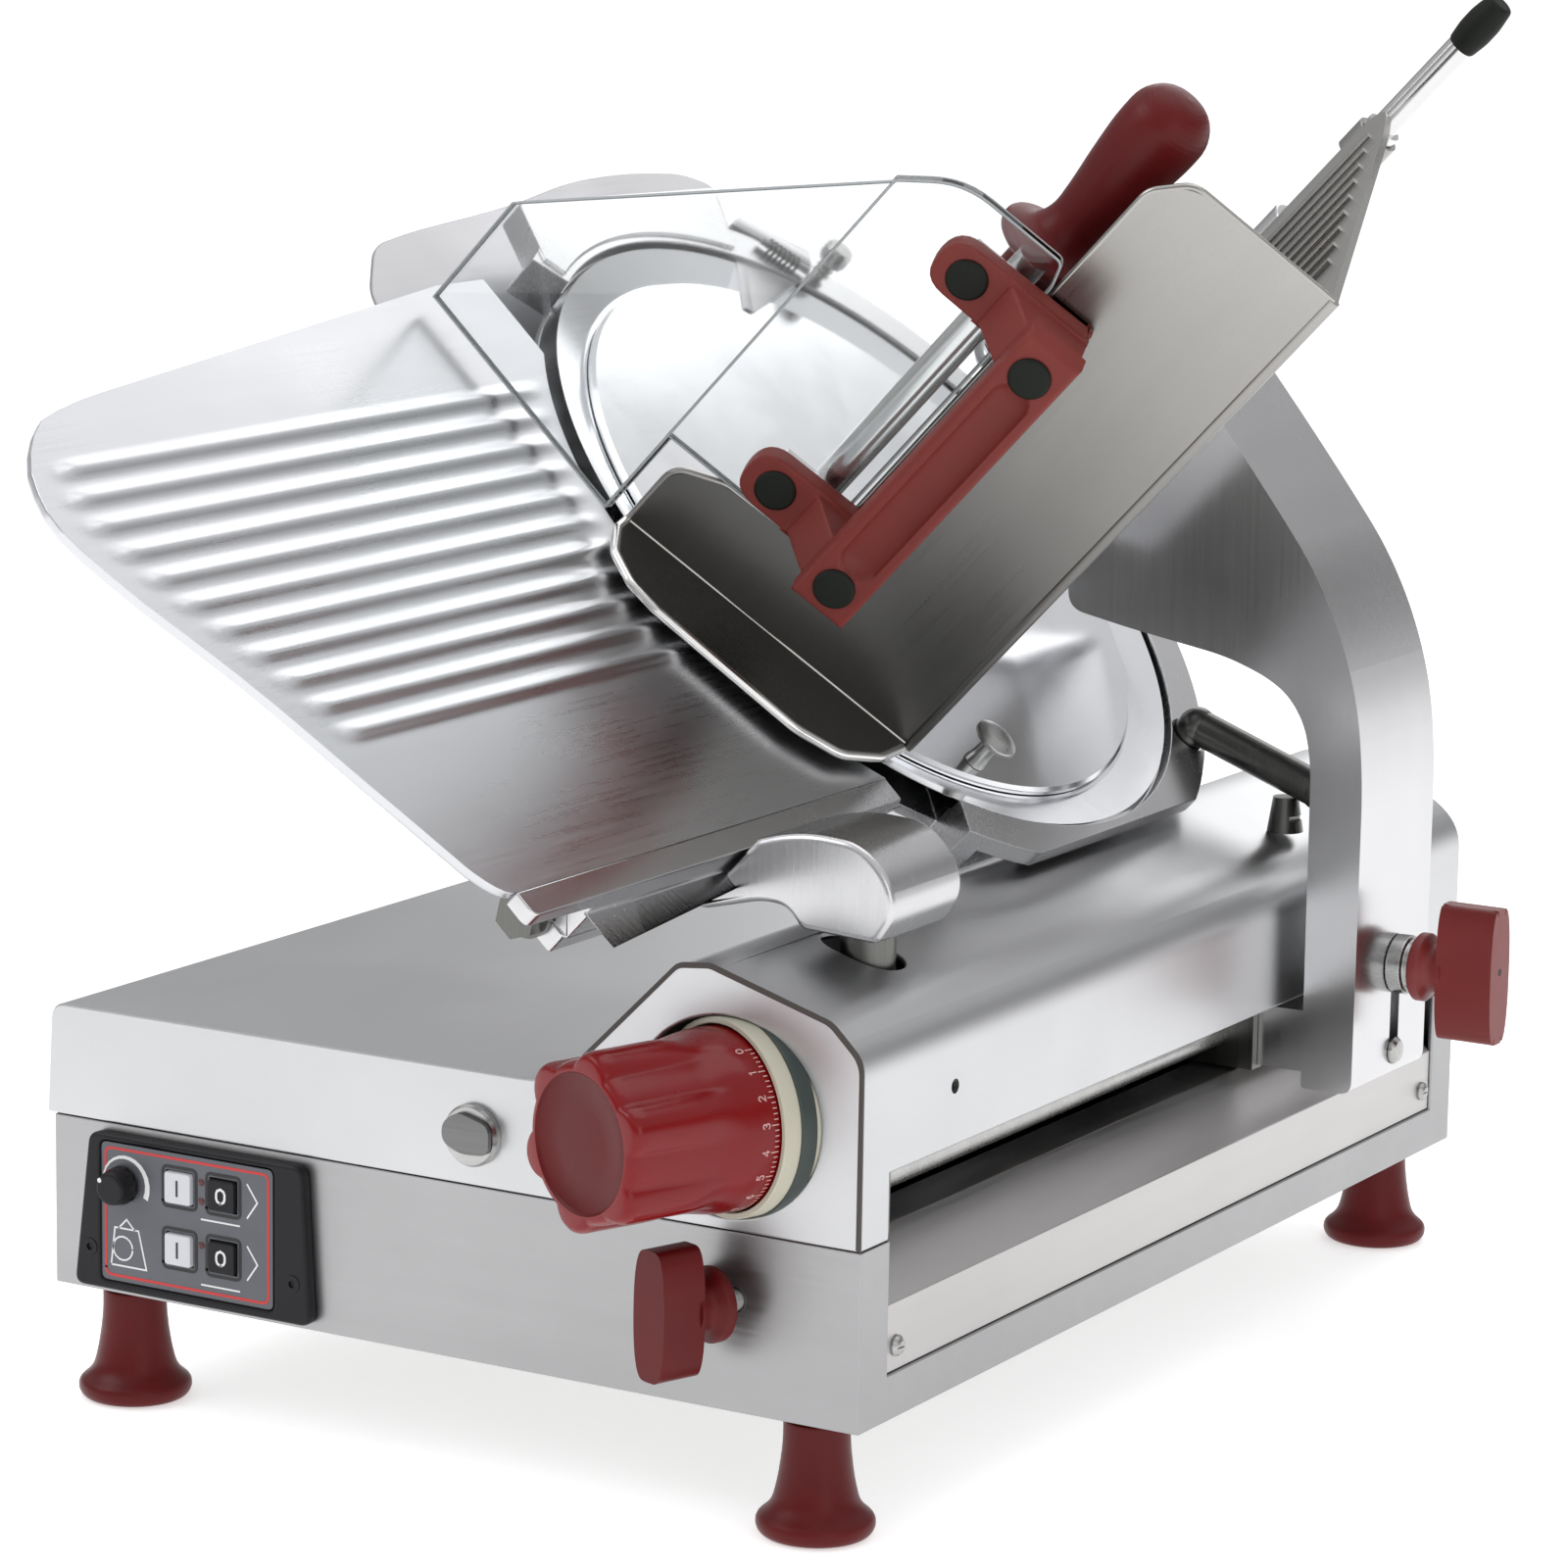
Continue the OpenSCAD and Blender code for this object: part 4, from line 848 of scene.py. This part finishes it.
# wedge scale above the speed knob
wed = []
for k_ in range(17):
    t_ = math.radians(205 - k_ * (230 / 16))
    wed.append((math.cos(t_), math.sin(t_), k_ / 16))
vs, fs = [], []
for c_, s_, q in wed:
    for r_ in (10.6, 10.9 + 2.2 * q):
        for h_ in (-0.1, 0.14):
            vs.append(FP(-345 + c_ * r_, 49 + s_ * r_, h_))
for k_ in range(16):
    a_ = k_ * 4; c_ = a_ + 4
    fs += [(a_ + 1, a_ + 3, c_ + 3, c_ + 1), (a_, c_, c_ + 2, a_ + 2), (a_, a_ + 1, c_ + 1, c_), (a_ + 2, c_ + 2, c_ + 3, a_ + 3)]
fs += [(0, 2, 3, 1), (64, 65, 67, 66)]
raw("speed_scale", vs, fs, M["white_print"], "base", 30)
prism("speed_dot", [(-345 + 1.0 * math.cos(k_ * math.pi / 8) - 4.6, 49 + 3.2 + 1.0 * math.sin(k_ * math.pi / 8)) for k_ in range(16)],
      lambda x, z, h: D(x, -16.2 - h, z), -0.2, 0.12, M["white_print"], "speed_knob")
# line pictogram, lower left
pic = [[(-352, 14), (-350, 30), (-338, 30), (-334, 14), (-352, 14)], [(-348, 30), (-344, 34), (-340, 30)],
       [(-346 + 5 * math.cos(k_ * math.pi / 8), 21.5 + 5 * math.sin(k_ * math.pi / 8)) for k_ in range(17)]]
ribbon("pictogram", pic, 0.7, FP, -0.1, 0.10, M["white_print"], "base")
ribbon("pictogram_marks", [[(-283, 44), (-278, 51), (-283, 58)], [(-283, 18), (-278, 25), (-283, 32)], [(-306, 12.5), (-287, 12.5)], [(-306, 40), (-287, 40)]],
       0.7, FP, -0.1, 0.10, M["white_print"], "base")

# ------------------------------------------------------------------ edges of the clear guards, grey bands of painted edge glint
bm = bmesh.new(); bm.from_mesh(N["clear_guard"].data)
bmesh.ops.remove_doubles(bm, verts=bm.verts, dist=2e-5)
bmesh.ops.dissolve_limit(bm, angle_limit=math.radians(0.5), use_dissolve_boundaries=False, verts=bm.verts[:], edges=bm.edges[:])
vs, fs = [], []
for x in bm.edges:
    if len(x.link_faces) == 2 and x.calc_face_angle(0) > math.radians(50):
        p0, p1 = x.verts[0].co.copy(), x.verts[1].co.copy()
        inw = -(x.link_faces[0].normal + x.link_faces[1].normal).normalized()
        t_ = (p1 - p0).normalized()
        s2 = t_.cross(inw).normalized()
        b0 = len(vs)
        for p in (p0, p1):
            for k_ in range(4):
                a_ = math.pi / 2 * k_ + math.pi / 4
                vs.append(p + (inw * (math.cos(a_) + 0.75) + s2 * math.sin(a_)) * 0.00060)
        for k_ in range(4):
            l_ = (k_ + 1) % 4
            fs.append((b0 + k_, b0 + l_, b0 + 4 + l_, b0 + 4 + k_))
        fs.append((b0, b0 + 1, b0 + 2, b0 + 3)); fs.append((b0 + 7, b0 + 6, b0 + 5, b0 + 4))
bm.free()
me = bpy.data.meshes.new("painted_edge_glints")
me.from_pydata([tuple(v) for v in vs], [], fs)
put("painted_edge_glints", me, M["painted_edge_glint"], body_name("clear_guard"), 30)


# ------------------------------------------------------------------ tray: rolled rim, crease and bottom bend
TC = body_name("meat_tray")


def TX(x, y, a):
    return T(-x, y, a)


rim = arcpts([(-148, -1.5), (-150, -12), (-146, -30), (-134, -42), (-120, -46), (-46, -50), (-24, -43), (-8, -24), (-1, -6)], [0, 6, 8, 10, 8, 20, 14, 12, 0], 6)
tube("tray_rim", [TX(x, y, 99.6) for x, y in rim], 2.1, M["tray_rim"], TC, 12)
tube("tray_crease", [TX(-147, -2.0, 100.4), TX(-147, -2.2, 100.6), TX(-80, -2.2, 100.6), TX(-1, -2.2, 100.6)], [0.5, 1.3, 1.3, 1.3], M["tray_mid"], TC, 12)
tube("tray_bend", [TX(0.8, -0.9, 100), TX(0.8, -0.9, 200), TX(0.8, -0.9, 370)], 2.9, M["tray_wall"], TC, 16)
top_ = arcpts([(1, 370), (-70, 370), (-82, 356), (-82, 348), (-81, 142), (-128, 141), (-148, 132), (-148, 99)], [0, 10, 10, 10, 0, 8, 10, 0], 5)
tube("tray_edge", [TX(x, -1.5, a) for x, a in top_], 1.62, M["tray_mid"], TC, 10)

# ------------------------------------------------------------------ grip bar with a long rounded groove
vs, fs = [], []
zs = [147 + 153 * k_ / 102 for k_ in range(103)]
xs = [-60 - 26 * k_ / 40 for k_ in range(41)]


def bar_h(x, z):
    d_ = math.hypot(x + 73, z - max(177, min(270, z)))
    g_ = 4.6 * math.sqrt(max(0, 1 - (d_ / 8.4) ** 2)) if d_ < 8.4 else 0
    e_ = min(x + 86, -60 - x, z - 147, 300 - z)
    rr_ = 2.6
    ed = rr_ - math.sqrt(max(0, rr_ * rr_ - (rr_ - min(rr_, e_)) ** 2))
    return -51 + g_ + ed


for z in zs:
    for x in xs:
        vs.append(TX(x, bar_h(x, z), z))
WX = len(xs)
for i_ in range(len(zs) - 1):
    for k_ in range(WX - 1):
        fs.append((i_ * WX + k_, i_ * WX + k_ + 1, (i_ + 1) * WX + k_ + 1, (i_ + 1) * WX + k_))
per = [(i_, 0) for i_ in range(len(zs))] + [(len(zs) - 1, k_) for k_ in range(1, WX)] + [(i_, WX - 1) for i_ in range(len(zs) - 2, -1, -1)] + [(0, k_) for k_ in range(WX - 2, 0, -1)]
b0 = len(vs)
for i_, k_ in per:
    vs.append(TX(xs[k_], -38.2, zs[i_]))
for q in range(len(per)):
    w_ = (q + 1) % len(per)
    fs.append((per[q][0] * WX + per[q][1], per[w_][0] * WX + per[w_][1], b0 + w_, b0 + q))
fs.append(tuple(b0 + q for q in range(len(per))))
o = raw("handle_bar_soft", vs, fs, M["brick_red"], body_name("handle_bar"), 50)
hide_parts("handle_bar")

# ------------------------------------------------------------------ spring latch beside the ring block
HB = "base"
lat = arcpts([(503, 386), (506, 396), (482, 430), (473, 422)], 1.2, 3)
prism("latch_bar", lat, lambda u, y, h: F(u, y, h), 92, 99.5, M["stainless_satin"], HB, 0.8, 2)
tri = arcpts([(497, 383), (493, 388), (470, 420), (455, 352), (458, 347)], 1.5, 3)
prism("latch_plate", tri, lambda u, y, h: F(u, y, h), 86, 96.5, M["stainless_satin"], HB, 0.8, 2)
coil = []
for k_ in range(97):
    t_ = k_ / 96
    ang = t_ * 2 * math.pi * 7
    u0, y0 = 487 - 14 * t_, 397.5 + 10.5 * t_
    coil.append(F(u0 + 2.7 * math.cos(ang) * 0.6, y0 + 2.7 * math.cos(ang) * 0.8, 101.5 + 2.7 * math.sin(ang)))
tube("latch_spring", coil, 0.55, M["dark_steel"], HB, 8)
tube("latch_pin", [F(490, 395.2, 101.5), F(469, 411.0, 101.5)], 1.9, M["machine_steel"], HB, 16)

# ------------------------------------------------------------------ dark strip along the front edge of the top cover
cov = arcpts([(-138, 120.5), (-83, 175), (-68.5, 176.5), (-14, 160.5), (0, 147), (0, 72.6)], [0, 7, 7, 12, 12, 0], 6)
cov = [q for q in cov]
vs, fs = [], []
cx_, cz_ = -70, 100
for x_, z_ in cov:
    d_ = (Vector((cx_, cz_)) - Vector((x_, z_))).normalized()
    for off in (-0.0, 2.2):
        for yy in (-1.06, -0.2):
            vs.append(D(x_ + d_.x * off, yy - (0.0 if yy > -1 else 0.10), z_ + d_.y * off))
for k_ in range(len(cov) - 1):
    a_ = k_ * 4; c_ = a_ + 4
    fs += [(a_, a_ + 2, c_ + 2, c_), (a_ + 1, c_ + 1, c_ + 3, a_ + 3), (a_, c_, c_ + 1, a_ + 1), (a_ + 2, a_ + 3, c_ + 3, c_ + 2)]
e_ = (len(cov) - 1) * 4
fs += [(0, 1, 3, 2), (e_, e_ + 2, e_ + 3, e_ + 1)]
raw("cover_seam", vs, fs, M["seam_dark"], "base", 40)
